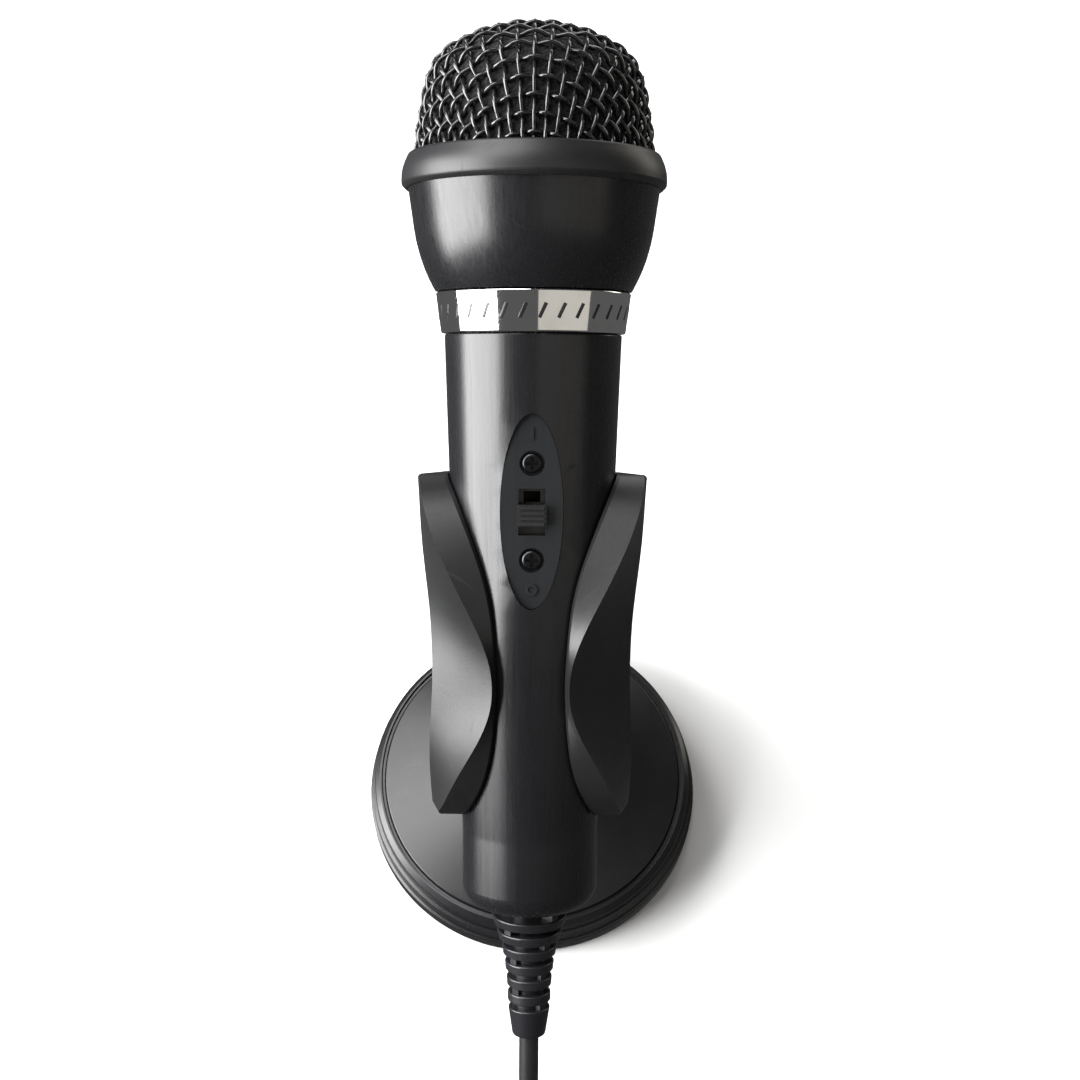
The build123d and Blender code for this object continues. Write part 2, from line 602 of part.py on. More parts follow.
for pillar in screw_pillars:
    base_cavity -= pillar
base_shell -= base_cavity
base_shell -= rod(6.1, 3.0, (0, 0, DOME_TOP - 3.0))
base_shell -= rod(NECK_SCREW_RADIUS + 0.2, 30.0, (0, 0, 0))
for place in screw_places:
    base_shell -= place * rod(1.3, 9.0, (0, 0, cover_top))
nodes["base_shell"] = base_shell

nodes["neck_screw"] = Pos(0, 0, cavity_top) * Rot(180, 0, 0) * pan_screw(4.4, 2.6, 1.98, 17.0)

weight_low = cover_top
base_weight = ring(33.5, 8.0, weight_low, weight_low + WEIGHT_THICKNESS)
for place in screw_places:
    base_weight -= place * rod(4.0, 20.0, (0, 0, 0))
nodes["base_weight"] = base_weight

cover_plate = rod(36.6, COVER_THICKNESS, (0, 0, PAD_THICKNESS))
for place in screw_places:
    cover_plate -= place * rod(1.5, COVER_THICKNESS, (0, 0, PAD_THICKNESS))
    cover_plate -= place * rod(2.9, 1.3, (0, 0, PAD_THICKNESS))
nodes["cover_plate"] = cover_plate
cover_screw = Rot(180, 0, 0) * pan_screw(2.6, 1.2, 1.28, 8.0)
nodes["cover_screws"] = Compound([
    place * Pos(0, 0, PAD_THICKNESS + 1.3) * cover_screw for place in screw_places
])
nodes["foot_pad"] = turned(
    (0, 0), (36.0, 0), (36.0, PAD_THICKNESS), (0, PAD_THICKNESS), rounds=[0, 0.3, 0, 0]
)

# ---- loose cord: run to the desk, coil, end and plug ----------------------------------------
RUN_ROUTE = [
    TAIL - AXIS * LEAD_OUTSIDE,
    TAIL - AXIS * (LEAD_OUTSIDE + 16.0),
    (1.0, -103.0, 20.6),
    (3.4, -114.5, 8.2),
    (8.6, -127.5, CORD_RADIUS),
    (14.6, -143.0, CORD_RADIUS),
    (COIL_CENTRE[0] + COIL_MEAN_RADIUS + 2 * CORD_DIAMETER, COIL_CENTRE[1], CORD_RADIUS),
]
END_ROUTE = [
    (COIL_CENTRE[0] - COIL_MEAN_RADIUS - 2 * CORD_DIAMETER, COIL_CENTRE[1], 3 * CORD_RADIUS),
    (-42.6, -149.0, 5.2),
    (-45.0, -138.5, PLUG_GRIP_RADIUS),
]
cord_run, run_path = tube(RUN_ROUTE, CORD_RADIUS)
nodes["cord_run"] = cord_run
cord_end, end_path = tube(END_ROUTE, CORD_RADIUS)
nodes["cord_end"] = cord_end

coil_half_width = COIL_COLUMNS * CORD_RADIUS
coil_height = COIL_ROWS * CORD_DIAMETER
coil_inner = COIL_MEAN_RADIUS - coil_half_width
coil_outer = COIL_MEAN_RADIUS + coil_half_width
coil_place = Pos(COIL_CENTRE[0], COIL_CENTRE[1], 0)
cord_coil = turned(
    (coil_inner, 0), (coil_outer, 0), (coil_outer, coil_height), (coil_inner, coil_height),
    rounds=CORD_RADIUS * 0.95,
)
tie_inner = Box(2 * (coil_half_width - TIE_THICKNESS), TIE_WIDTH, coil_height - 2 * TIE_THICKNESS)
tie_outer = Box(2 * coil_half_width + 0.4, TIE_WIDTH, coil_height)
tie_outer = fillet(tie_outer.edges().filter_by(Axis.Y), 1.4)
tie_turn = Rot(0, 0, -90) * Pos(COIL_MEAN_RADIUS, 0, coil_height / 2)
cord_tie = tie_turn * (tie_outer - tie_inner)
cord_coil -= tie_turn * tie_outer - tie_turn * tie_inner
nodes["cord_coil"] = coil_place * cord_coil
nodes["cord_tie"] = coil_place * cord_tie

plug_start = end_path @ 1
plug_direction = Vector(-0.22, 1.0, 0).normalized()
PLUG = Plane(origin=plug_start, z_dir=plug_direction)
relief_length = 7.0
plug_grip = turned(
    (0, 0), (2.6, 0), (2.9, relief_length), (PLUG_GRIP_RADIUS - 0.02, relief_length + 1.0),
    (PLUG_GRIP_RADIUS - 0.02, PLUG_GRIP_LENGTH), (0, PLUG_GRIP_LENGTH),
    rounds=[0, 0.5, 0.5, 0.8, 0.8, 0],
)
nodes["plug_grip"] = PLUG * plug_grip
pin_low = PLUG_GRIP_LENGTH
insulator_heights = [pin_low + 6.4, pin_low + 9.4]
INSULATOR_LENGTH = 0.7
plug_pin = turned(
    (0, pin_low), (2.6, pin_low), (2.6, pin_low + 0.8), (PLUG_PIN_RADIUS, pin_low + 0.8),
    (PLUG_PIN_RADIUS, pin_low + 10.6), (1.2, pin_low + 11.4), (1.65, pin_low + 12.4),
    (0.6, pin_low + PLUG_PIN_LENGTH), (0, pin_low + PLUG_PIN_LENGTH),
)
insulators = []
for height in insulator_heights:
    insulator = ring(PLUG_PIN_RADIUS, 1.2, height, height + INSULATOR_LENGTH)
    plug_pin -= insulator
    insulators.append(PLUG * insulator)
nodes["plug_pin"] = PLUG * plug_pin
nodes["plug_insulators"] = Compound(insulators)

# ---- write the pieces ---------------------------------------------------------------------
os.makedirs("parts", exist_ok=True)
for name, shape in nodes.items():
    export_step(shape, f"parts/{name}.step")

for label, route, shape, path in (
    ("run", RUN_ROUTE, cord_run, run_path),
    ("end", END_ROUTE, cord_end, end_path),
):
    section_area = pi * CORD_RADIUS**2
    print("cord", label, "radii", [round(r, 1) for r in cord_radii(route)])
    print("cord", label, "length", round(path.length, 1), "volume ratio",
          round(shape.volume / (section_area * path.length), 4))
for name, shape in nodes.items():
    print(name, len(shape.solids()), round(shape.volume, 1), shape.bounding_box())
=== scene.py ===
"""Karaoke microphone on a tilting desk stand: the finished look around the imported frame.

Every class below is one sub-assembly with its sizes as fields. The microphone's own frame has
its z axis running up the handle, x to the right and -y at the front, and starts 5 mm below the
handle's end face, where the strain relief leaves it.
"""

import json
import logging
import math
from dataclasses import dataclass, field
from enum import Enum

import bmesh
import bpy
from mathutils import Matrix, Vector, noise


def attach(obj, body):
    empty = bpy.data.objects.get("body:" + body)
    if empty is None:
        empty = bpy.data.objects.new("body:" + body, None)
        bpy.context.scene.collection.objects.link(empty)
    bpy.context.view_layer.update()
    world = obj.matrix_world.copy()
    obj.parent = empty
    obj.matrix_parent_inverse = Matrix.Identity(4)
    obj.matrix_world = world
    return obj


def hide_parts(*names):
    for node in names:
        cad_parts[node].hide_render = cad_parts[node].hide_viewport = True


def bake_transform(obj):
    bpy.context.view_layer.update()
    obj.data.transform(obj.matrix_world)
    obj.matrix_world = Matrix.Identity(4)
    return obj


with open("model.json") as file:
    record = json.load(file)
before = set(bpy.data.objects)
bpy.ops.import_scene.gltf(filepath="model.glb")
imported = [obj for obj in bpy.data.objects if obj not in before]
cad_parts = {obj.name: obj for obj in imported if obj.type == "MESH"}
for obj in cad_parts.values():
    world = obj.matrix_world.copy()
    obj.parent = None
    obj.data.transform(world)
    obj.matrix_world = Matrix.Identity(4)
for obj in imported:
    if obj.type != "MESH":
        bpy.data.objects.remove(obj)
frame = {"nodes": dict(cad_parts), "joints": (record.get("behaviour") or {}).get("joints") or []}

LOG = logging.getLogger("microphone")
MM = 0.001
FULL_TURN = 2.0 * math.pi
# Gaps and faces narrower than these, in metres, are closed.
MERGE_GAP = 1e-6
SLIVER_WIDTH = 1e-7
Point = tuple[float, float]
Colour = tuple[float, float, float]


# ---- placing ------------------------------------------------------------------------------
@dataclass(frozen=True)
class Placing:
    """Where the microphone lies, read from the joints.

    Attributes:
        pivot_behind_axis: hinge centre to the microphone's axis, in metres.
        pivot_from_origin: hinge centre to the frame's origin along the axis, in metres.
    """

    pivot_behind_axis: float = 28.0 * MM
    pivot_from_origin: float = 40.4 * MM

    def joint(self, name: str) -> dict:
        """The joint of that name."""
        return next(j for j in frame["joints"] if j["name"] == name)

    @property
    def pivot(self) -> Vector:
        """Centre of the clip's hinge."""
        return Vector(self.joint("clip_tilt")["pos_m"])

    @property
    def axis(self) -> Vector:
        """Direction of the microphone's axis, from its tail to its head."""
        return Vector(self.joint("mic_slide")["axis"]).normalized()

    @property
    def front(self) -> Vector:
        """Direction in which the microphone's front faces."""
        return Vector((1.0, 0.0, 0.0)).cross(self.axis)

    @property
    def origin(self) -> Vector:
        """Origin of the microphone's own frame."""
        forward = self.front * self.pivot_behind_axis
        return self.pivot + forward - self.axis * self.pivot_from_origin

    @property
    def matrix(self) -> Matrix:
        """The microphone's own frame as a matrix in the row frame."""
        columns = (Vector((1.0, 0.0, 0.0)), -self.front, self.axis)
        turn = Matrix(columns).transposed().to_4x4()
        return Matrix.Translation(self.origin) @ turn

    @property
    def tilt(self) -> float:
        """Angle of the microphone's axis from upright, about X, in radians."""
        return math.atan2(-self.axis.y, self.axis.z)


PLACING = Placing()


# ---- mesh tools ---------------------------------------------------------------------------
def spun(outline: list[Point], steps: int) -> bmesh.types.BMesh:
    """Turns a half section that starts and ends on the axis about z.

    Args:
        outline: points as (radius, height) in millimetres.
        steps: number of steps round the axis.

    Returns:
        The turned shell, in metres, with its faces outwards.
    """
    bm = bmesh.new()
    verts = [bm.verts.new((r * MM, 0.0, z * MM)) for r, z in outline]
    edges = [bm.edges.new(pair) for pair in zip(verts, verts[1:])]
    bmesh.ops.spin(
        bm, geom=verts + edges, cent=(0, 0, 0), axis=(0, 0, 1), dvec=(0, 0, 0),
        angle=FULL_TURN, steps=steps, use_merge=True, use_normal_flip=False,
        use_duplicate=False,
    )
    bmesh.ops.remove_doubles(bm, verts=bm.verts, dist=MERGE_GAP)
    bmesh.ops.dissolve_degenerate(bm, dist=SLIVER_WIDTH, edges=bm.edges)
    bmesh.ops.recalc_face_normals(bm, faces=bm.faces)
    return bm


def round_edges(bm: bmesh.types.BMesh, edges: list[bmesh.types.BMEdge], width: float,
                rows: int = 3) -> None:
    """Bevels edges to a round.

    Args:
        bm: the mesh, changed in place.
        edges: the edges to bevel.
        width: bevel width in millimetres.
        rows: rows of faces across each bevel.
    """
    bmesh.ops.bevel(
        bm, geom=edges, offset=width * MM, offset_type="OFFSET", affect="EDGES",
        segments=rows, profile=0.5, material=-1, clamp_overlap=True,
    )


def soften(bm: bmesh.types.BMesh, width: float, corner: float) -> None:
    """Bevels every edge that turns by more than a corner angle.

    Args:
        bm: the mesh, changed in place.
        width: bevel width in millimetres.
        corner: smallest angle between faces that counts as a corner, in degrees.
    """
    round_edges(bm, [
        e for e in bm.edges
        if len(e.link_faces) == 2 and e.calc_face_angle(0.0) > math.radians(corner)
    ], width)


def box_mesh(size: tuple[float, float, float], centre: tuple[float, float, float],
             round_edge: float) -> bmesh.types.BMesh:
    """A block with rounded edges.

    Args:
        size: its three sizes in millimetres.
        centre: its centre in millimetres.
        round_edge: radius of its edges in millimetres.

    Returns:
        The block, in metres.
    """
    bm = bmesh.new()
    bmesh.ops.create_cube(bm, size=1.0)
    bmesh.ops.scale(bm, vec=[s * MM for s in size], verts=bm.verts)
    round_edges(bm, bm.edges[:], round_edge)
    bmesh.ops.translate(bm, vec=[c * MM for c in centre], verts=bm.verts)
    return bm


def join_into(target: bmesh.types.BMesh, part: bmesh.types.BMesh) -> None:
    """Adds one mesh's faces to another.

    Args:
        target: the mesh that grows.
        part: the mesh that is added, freed here.
    """
    carrier = bpy.data.meshes.new("carrier")
    part.to_mesh(carrier)
    part.free()
    target.from_mesh(carrier)
    bpy.data.meshes.remove(carrier)


def add_object(name: str, data: bpy.types.ID) -> bpy.types.Object:
    """Puts an object into the scene.

    Args:
        name: the object's name.
        data: its mesh, curve, light or camera.

    Returns:
        The object, at the origin.
    """
    added = bpy.data.objects.new(name, data)
    bpy.context.scene.collection.objects.link(added)
    return added


def as_mesh(source: bpy.types.Object) -> bpy.types.Mesh:
    """A new mesh with the shape that a curve's object has now.

    Args:
        source: the curve's object.

    Returns:
        The mesh, smooth shaded.
    """
    graph = bpy.context.evaluated_depsgraph_get()
    mesh = bpy.data.meshes.new_from_object(source.evaluated_get(graph))
    for polygon in mesh.polygons:
        polygon.use_smooth = True
    return mesh


def finished_piece(name: str, bm: bmesh.types.BMesh, place: Matrix | None = None,
                   sharp_angle: float = 40.0) -> bpy.types.Object:
    """Makes a piece of a bmesh, smooth shaded, with its place in its mesh.

    Args:
        name: the piece's name.
        bm: its shape, freed here.
        place: where it goes, in the row frame.
        sharp_angle: corners sharper than this stay crisp, in degrees.

    Returns:
        The object, at the origin.
    """
    if place is not None:
        bmesh.ops.transform(bm, matrix=place, verts=bm.verts)
    for face in bm.faces:
        face.smooth = True
    mesh = bpy.data.meshes.new(name)
    bm.to_mesh(mesh)
    bm.free()
    mesh.set_sharp_from_angle(angle=math.radians(sharp_angle))
    return add_object(name, mesh)


def dress(piece: bpy.types.Object, material: bpy.types.Material) -> None:
    """Gives a piece its material.

    Args:
        piece: the piece.
        material: its material.
    """
    piece.data.materials.clear()
    piece.data.materials.append(material)


def settle(piece: bpy.types.Object, body: str, *replaced: str) -> None:
    """Makes a piece ride on a body and stand for the nodes that it replaces.

    Args:
        piece: the piece.
        body: the body that carries it.
        replaced: the carried-over nodes that it stands for.
    """
    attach(piece, body)
    if replaced:
        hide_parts(*replaced)
    LOG.info("%s rides on %s", piece.name, body)


# ---- finishes -----------------------------------------------------------------------------
@dataclass(frozen=True)
class PlasticFinish:
    """A moulded plastic or rubber surface.

    Attributes:
        name: the material's name.
        colour: its main colour.
        rubbed: the colour where handling has polished or greyed it.
        roughness: roughness of the clean surface.
        roughness_spread: how much the roughness wanders.
        grain_size: grains across a metre.
        grain_depth: depth of the moulded grain, in metres.
        streak: stretch of the fine marks along x, y and z of the piece.
        streak_depth: strength of those marks in the roughness.
        scratch: strength of the scattered hairline scratches.
        coat: weight of a clear glossy skin.
        upright: whether the marks follow the row frame rather than the microphone.
    """

    name: str
    colour: Colour
    rubbed: Colour
    roughness: float
    roughness_spread: float = 0.08
    grain_size: float = 2600.0
    grain_depth: float = 0.00001
    streak: tuple[float, float, float] = (900.0, 900.0, 14.0)
    streak_depth: float = 0.05
    scratch: float = 0.15
    coat: float = 0.0
    upright: bool = False


@dataclass(frozen=True)
class MetalFinish:
    """A metal surface.

    Attributes:
        name: the material's name.
        colour: its reflection colour.
        tarnish: colour of its duller places.
        roughness: roughness of the clean surface.
        brushing: stretch of the brush lines along x, y and z.
        brush_depth: strength of the brush lines.
        spot_size: tarnish spots across a metre.
    """

    name: str
    colour: Colour
    tarnish: Colour
    roughness: float
    brushing: tuple[float, float, float] = (60.0, 60.0, 2200.0)
    brush_depth: float = 0.02
    spot_size: float = 180.0


@dataclass(frozen=True)
class SoftFinish:
    """A foam or woven surface.

    Attributes:
        name: the material's name.
        colour: colour of its outer fibres or cell walls.
        shaded_hollow: painted shade, the darker colour down in its cells.
        cell_size: cells across a metre.
        depth: depth of the cells, in metres.
        fuzz: weight of the soft sheen at its edges.
    """

    name: str
    colour: Colour
    # Painted shade: the darker colour at the bottoms of the cells.
    shaded_hollow: Colour
    cell_size: float
    depth: float
    fuzz: float = 0.2


Finish = PlasticFinish | MetalFinish | SoftFinish


def moulded_plastic(finish: PlasticFinish) -> bpy.types.Material:
    """A moulded plastic material: grain, wandering polish, lengthwise marks and hairlines.

    Args:
        finish: its colours, gloss and marks.

    Returns:
        The material.
    """
    material = bpy.data.materials.new(finish.name)
    material.use_nodes = True
    nodes, links = material.node_tree.nodes, material.node_tree.links
    nodes.clear()

    output = nodes.new("ShaderNodeOutputMaterial")
    output.label = "surface"
    shader = nodes.new("ShaderNodeBsdfPrincipled")
    shader.label = "moulded skin"
    shader.inputs["Coat Weight"].default_value = finish.coat
    shader.inputs["Coat Roughness"].default_value = 0.12
    shader.inputs["IOR"].default_value = 1.5

    place = nodes.new("ShaderNodeTexCoord")
    place.label = "place on the piece"
    turned = nodes.new("ShaderNodeMapping")
    turned.label = "turn to the axis"
    turned.vector_type = "TEXTURE"
    turned.inputs["Rotation"].default_value = (0.0 if finish.upright else PLACING.tilt, 0, 0)

    colour_frame = nodes.new("NodeFrame")
    colour_frame.label = "colour: rubbed places"
    handling = nodes.new("ShaderNodeTexNoise")
    handling.label = "handling patches"
    handling.inputs["Scale"].default_value = 55.0
    handling.inputs["Detail"].default_value = 6.0
    handling.inputs["Roughness"].default_value = 0.6
    patches = nodes.new("ShaderNodeValToRGB")
    patches.label = "clean to rubbed"
    clean, rubbed = patches.color_ramp.elements
    clean.position, clean.color = 0.42, (*finish.colour, 1.0)
    rubbed.position, rubbed.color = 0.78, (*finish.rubbed, 1.0)

    polish_frame = nodes.new("NodeFrame")
    polish_frame.label = "polish: streaks and hairlines"
    stretch = nodes.new("ShaderNodeMapping")
    stretch.label = "draw out lengthwise"
    stretch.inputs["Scale"].default_value = finish.streak
    streaks = nodes.new("ShaderNodeTexNoise")
    streaks.label = "polishing streaks"
    streaks.inputs["Scale"].default_value = 1.0
    streaks.inputs["Detail"].default_value = 3.0
    sheen_range = nodes.new("ShaderNodeMapRange")
    sheen_range.label = "streaks to roughness"
    sheen_range.inputs["To Min"].default_value = finish.roughness - finish.streak_depth
    sheen_range.inputs["To Max"].default_value = finish.roughness + finish.streak_depth
    wander = nodes.new("ShaderNodeTexNoise")
    wander.label = "wandering gloss"
    wander.inputs["Scale"].default_value = 24.0
    wander.inputs["Detail"].default_value = 4.0
    wander_range = nodes.new("ShaderNodeMapRange")
    wander_range.label = "gloss spread"
    wander_range.inputs["To Min"].default_value = -finish.roughness_spread
    wander_range.inputs["To Max"].default_value = finish.roughness_spread
    gloss = nodes.new("ShaderNodeMath")
    gloss.label = "gloss of this place"
    gloss.use_clamp = True
    hairline_stretch = nodes.new("ShaderNodeMapping")
    hairline_stretch.label = "slant the hairlines"
    hairline_stretch.inputs["Rotation"].default_value = (0.5, 0.35, 0.9)
    hairline_stretch.inputs["Scale"].default_value = (130.0, 5200.0, 130.0)
    hairlines = nodes.new("ShaderNodeTexNoise")
    hairlines.label = "hairline scratches"
    hairlines.inputs["Scale"].default_value = 1.0
    hairlines.inputs["Detail"].default_value = 0.0
    hairline_cut = nodes.new("ShaderNodeMapRange")
    hairline_cut.label = "only the deepest"
    hairline_cut.inputs["From Min"].default_value = 0.76
    hairline_cut.inputs["From Max"].default_value = 0.82
    hairline_cut.inputs["To Max"].default_value = finish.scratch
    scratched = nodes.new("ShaderNodeMath")
    scratched.label = "scratches dull the gloss"
    scratched.use_clamp = True

    grain_frame = nodes.new("NodeFrame")
    grain_frame.label = "relief: moulded grain"
    grain = nodes.new("ShaderNodeTexNoise")
    grain.label = "moulded grain"
    grain.inputs["Scale"].default_value = finish.grain_size
    grain.inputs["Detail"].default_value = 2.0
    waviness = nodes.new("ShaderNodeTexNoise")
    waviness.label = "mould waviness"
    waviness.inputs["Scale"].default_value = 90.0
    waviness.inputs["Detail"].default_value = 1.0
    wave_bump = nodes.new("ShaderNodeBump")
    wave_bump.label = "slight waviness"
    wave_bump.inputs["Strength"].default_value = 0.25
    wave_bump.inputs["Distance"].default_value = 0.00006
    grain_bump = nodes.new("ShaderNodeBump")
    grain_bump.label = "grain relief"
    grain_bump.inputs["Strength"].default_value = 0.5
    grain_bump.inputs["Distance"].default_value = finish.grain_depth

    for effect, places in (
        (None, ((output, 1200, 0), (shader, 900, 0), (place, -1400, 0), (turned, -1200, 0))),
        (colour_frame, ((handling, -800, 400), (patches, -500, 400))),
        (polish_frame, (
            (stretch, -1000, -100), (streaks, -800, -100), (sheen_range, -500, -100),
            (wander, -800, -350), (wander_range, -500, -350), (gloss, -250, -200),
            (hairline_stretch, -1000, -600), (hairlines, -800, -600),
            (hairline_cut, -500, -600), (scratched, 0, -300),
        )),
        (grain_frame, (
            (grain, -500, -900), (waviness, -500, -1150), (wave_bump, 200, -1100),
            (grain_bump, 500, -900),
        )),
    ):
        for node, across, up in places:
            node.parent = effect
            node.location = (across, up)

    links.new(place.outputs["Object"], turned.inputs["Vector"])
    links.new(turned.outputs["Vector"], handling.inputs["Vector"])
    links.new(handling.outputs["Fac"], patches.inputs["Fac"])
    links.new(patches.outputs["Color"], shader.inputs["Base Color"])
    links.new(turned.outputs["Vector"], stretch.inputs["Vector"])
    links.new(stretch.outputs["Vector"], streaks.inputs["Vector"])
    links.new(streaks.outputs["Fac"], sheen_range.inputs["Value"])
    links.new(turned.outputs["Vector"], wander.inputs["Vector"])
    links.new(wander.outputs["Fac"], wander_range.inputs["Value"])
    links.new(sheen_range.outputs["Result"], gloss.inputs[0])
    links.new(wander_range.outputs["Result"], gloss.inputs[1])
    links.new(turned.outputs["Vector"], hairline_stretch.inputs["Vector"])
    links.new(hairline_stretch.outputs["Vector"], hairlines.inputs["Vector"])
    links.new(hairlines.outputs["Fac"], hairline_cut.inputs["Value"])
    links.new(gloss.outputs["Value"], scratched.inputs[0])
    links.new(hairline_cut.outputs["Result"], scratched.inputs[1])
    links.new(scratched.outputs["Value"], shader.inputs["Roughness"])
    links.new(turned.outputs["Vector"], grain.inputs["Vector"])
    links.new(turned.outputs["Vector"], waviness.inputs["Vector"])
    links.new(waviness.outputs["Fac"], wave_bump.inputs["Height"])
    links.new(wave_bump.outputs["Normal"], grain_bump.inputs["Normal"])
    links.new(grain.outputs["Fac"], grain_bump.inputs["Height"])
    links.new(grain_bump.outputs["Normal"], shader.inputs["Normal"])
    links.new(shader.outputs["BSDF"], output.inputs["Surface"])
    return material


def worked_metal(finish: MetalFinish) -> bpy.types.Material:
    """A metal material with brush lines and slight tarnish.

    Args:
        finish: its colours, polish and brushing.

    Returns:
        The material.
    """
    material = bpy.data.materials.new(finish.name)
    material.use_nodes = True
    nodes, links = material.node_tree.nodes, material.node_tree.links
    nodes.clear()

    output = nodes.new("ShaderNodeOutputMaterial")
    output.label = "surface"
    shader = nodes.new("ShaderNodeBsdfPrincipled")
    shader.label = "metal"
    shader.inputs["Metallic"].default_value = 1.0

    place = nodes.new("ShaderNodeTexCoord")
    place.label = "place on the piece"
    turned = nodes.new("ShaderNodeMapping")
    turned.label = "turn to the axis"
    turned.vector_type = "TEXTURE"
    turned.inputs["Rotation"].default_value = (PLACING.tilt, 0, 0)

    tarnish_frame = nodes.new("NodeFrame")
    tarnish_frame.label = "colour: tarnish"
    spots = nodes.new("ShaderNodeTexNoise")
    spots.label = "tarnish spots"
    spots.inputs["Scale"].default_value = finish.spot_size
    spots.inputs["Detail"].default_value = 5.0
    tint = nodes.new("ShaderNodeValToRGB")
    tint.label = "bright to tarnished"
    bright, tarnished = tint.color_ramp.elements
    bright.position, bright.color = 0.5, (*finish.colour, 1.0)
    tarnished.position, tarnished.color = 0.85, (*finish.tarnish, 1.0)

    brush_frame = nodes.new("NodeFrame")
    brush_frame.label = "polish: brush lines"
    stretch = nodes.new("ShaderNodeMapping")
    stretch.label = "draw out the lines"
    stretch.inputs["Scale"].default_value = finish.brushing
    lines = nodes.new("ShaderNodeTexNoise")
    lines.label = "brush lines"
    lines.inputs["Scale"].default_value = 1.0
    lines.inputs["Detail"].default_value = 3.0
    dull = nodes.new("ShaderNodeMapRange")
    dull.label = "lines to roughness"
    dull.inputs["To Min"].default_value = max(0.02, finish.roughness - finish.brush_depth)
    dull.inputs["To Max"].default_value = finish.roughness + finish.brush_depth
    relief = nodes.new("ShaderNodeBump")
    relief.label = "line relief"
    relief.inputs["Strength"].default_value = 0.15
    relief.inputs["Distance"].default_value = 0.00001

    for effect, places in (
        (None, ((output, 900, 0), (shader, 600, 0), (place, -1100, 0), (turned, -900, 0))),
        (tarnish_frame, ((spots, -500, 300), (tint, -200, 300))),
        (brush_frame, (
            (stretch, -700, -200), (lines, -500, -200), (dull, -200, -200), (relief, 200, -300),
        )),
    ):
        for node, across, up in places:
            node.parent = effect
            node.location = (across, up)

    links.new(place.outputs["Object"], turned.inputs["Vector"])
    links.new(turned.outputs["Vector"], spots.inputs["Vector"])
    links.new(spots.outputs["Fac"], tint.inputs["Fac"])
    links.new(tint.outputs["Color"], shader.inputs["Base Color"])
    links.new(turned.outputs["Vector"], stretch.inputs["Vector"])
    links.new(stretch.outputs["Vector"], lines.inputs["Vector"])
    links.new(lines.outputs["Fac"], dull.inputs["Value"])
    links.new(dull.outputs["Result"], shader.inputs["Roughness"])
    links.new(lines.outputs["Fac"], relief.inputs["Height"])
    links.new(relief.outputs["Normal"], shader.inputs["Normal"])
    links.new(shader.outputs["BSDF"], output.inputs["Surface"])
    return material


def cellular_soft(finish: SoftFinish) -> bpy.types.Material:
    """A soft material of open cells or loops: painted shade in the cell hollows, paler rims and
    a fuzzy edge.

    Args:
        finish: its colours and cell size.

    Returns:
        The material.
    """
    material = bpy.data.materials.new(finish.name)
    material.use_nodes = True
    nodes, links = material.node_tree.nodes, material.node_tree.links
    nodes.clear()

    output = nodes.new("ShaderNodeOutputMaterial")
    output.label = "surface"
    shader = nodes.new("ShaderNodeBsdfPrincipled")
    shader.label = "soft matter"
    shader.inputs["Roughness"].default_value = 0.95
    shader.inputs["Sheen Weight"].default_value = finish.fuzz

    place = nodes.new("ShaderNodeTexCoord")
    place.label = "place on the piece"

    cell_frame = nodes.new("NodeFrame")
    cell_frame.label = "cells: colour and relief"
    cells = nodes.new("ShaderNodeTexVoronoi")
    cells.label = "open cells"
    cells.inputs["Scale"].default_value = finish.cell_size
    shade = nodes.new("ShaderNodeValToRGB")
    shade.label = "hollow to rim"
    # The ramp paints shade into the cells: darker towards each cell's middle, the finish's own
    # colour at the walls.
    shaded_hollow, rim = shade.color_ramp.elements
    shaded_hollow.position, shaded_hollow.color = 0.15, (*finish.shaded_hollow, 1.0)
    rim.position, rim.color = 0.6, (*finish.colour, 1.0)
    fibre = nodes.new("ShaderNodeTexNoise")
    fibre.label = "loose fibres"
    fibre.inputs["Scale"].default_value = finish.cell_size * 2.7
    fibre.inputs["Detail"].default_value = 4.0
    fibre_relief = nodes.new("ShaderNodeBump")
    fibre_relief.label = "fibre relief"
    fibre_relief.inputs["Strength"].default_value = 0.6
    fibre_relief.inputs["Distance"].default_value = finish.depth * 0.4
    cell_relief = nodes.new("ShaderNodeBump")
    cell_relief.label = "cell relief"
    cell_relief.inputs["Distance"].default_value = finish.depth

    for effect, places in (
        (None, ((output, 900, 0), (shader, 600, 0), (place, -900, 0))),
        (cell_frame, (
            (cells, -600, 100), (shade, -300, 200), (fibre, -600, -250),
            (fibre_relief, 0, -250), (cell_relief, 250, -100),
        )),
    ):
        for node, across, up in places:
            node.parent = effect
            node.location = (across, up)

    links.new(place.outputs["Object"], cells.inputs["Vector"])
    links.new(place.outputs["Object"], fibre.inputs["Vector"])
    links.new(cells.outputs["Distance"], shade.inputs["Fac"])
    links.new(shade.outputs["Color"], shader.inputs["Base Color"])
    links.new(fibre.outputs["Fac"], fibre_relief.inputs["Height"])
    links.new(fibre_relief.outputs["Normal"], cell_relief.inputs["Normal"])
    links.new(cells.outputs["Distance"], cell_relief.inputs["Height"])
    links.new(cell_relief.outputs["Normal"], shader.inputs["Normal"])
    links.new(shader.outputs["BSDF"], output.inputs["Surface"])
    return material


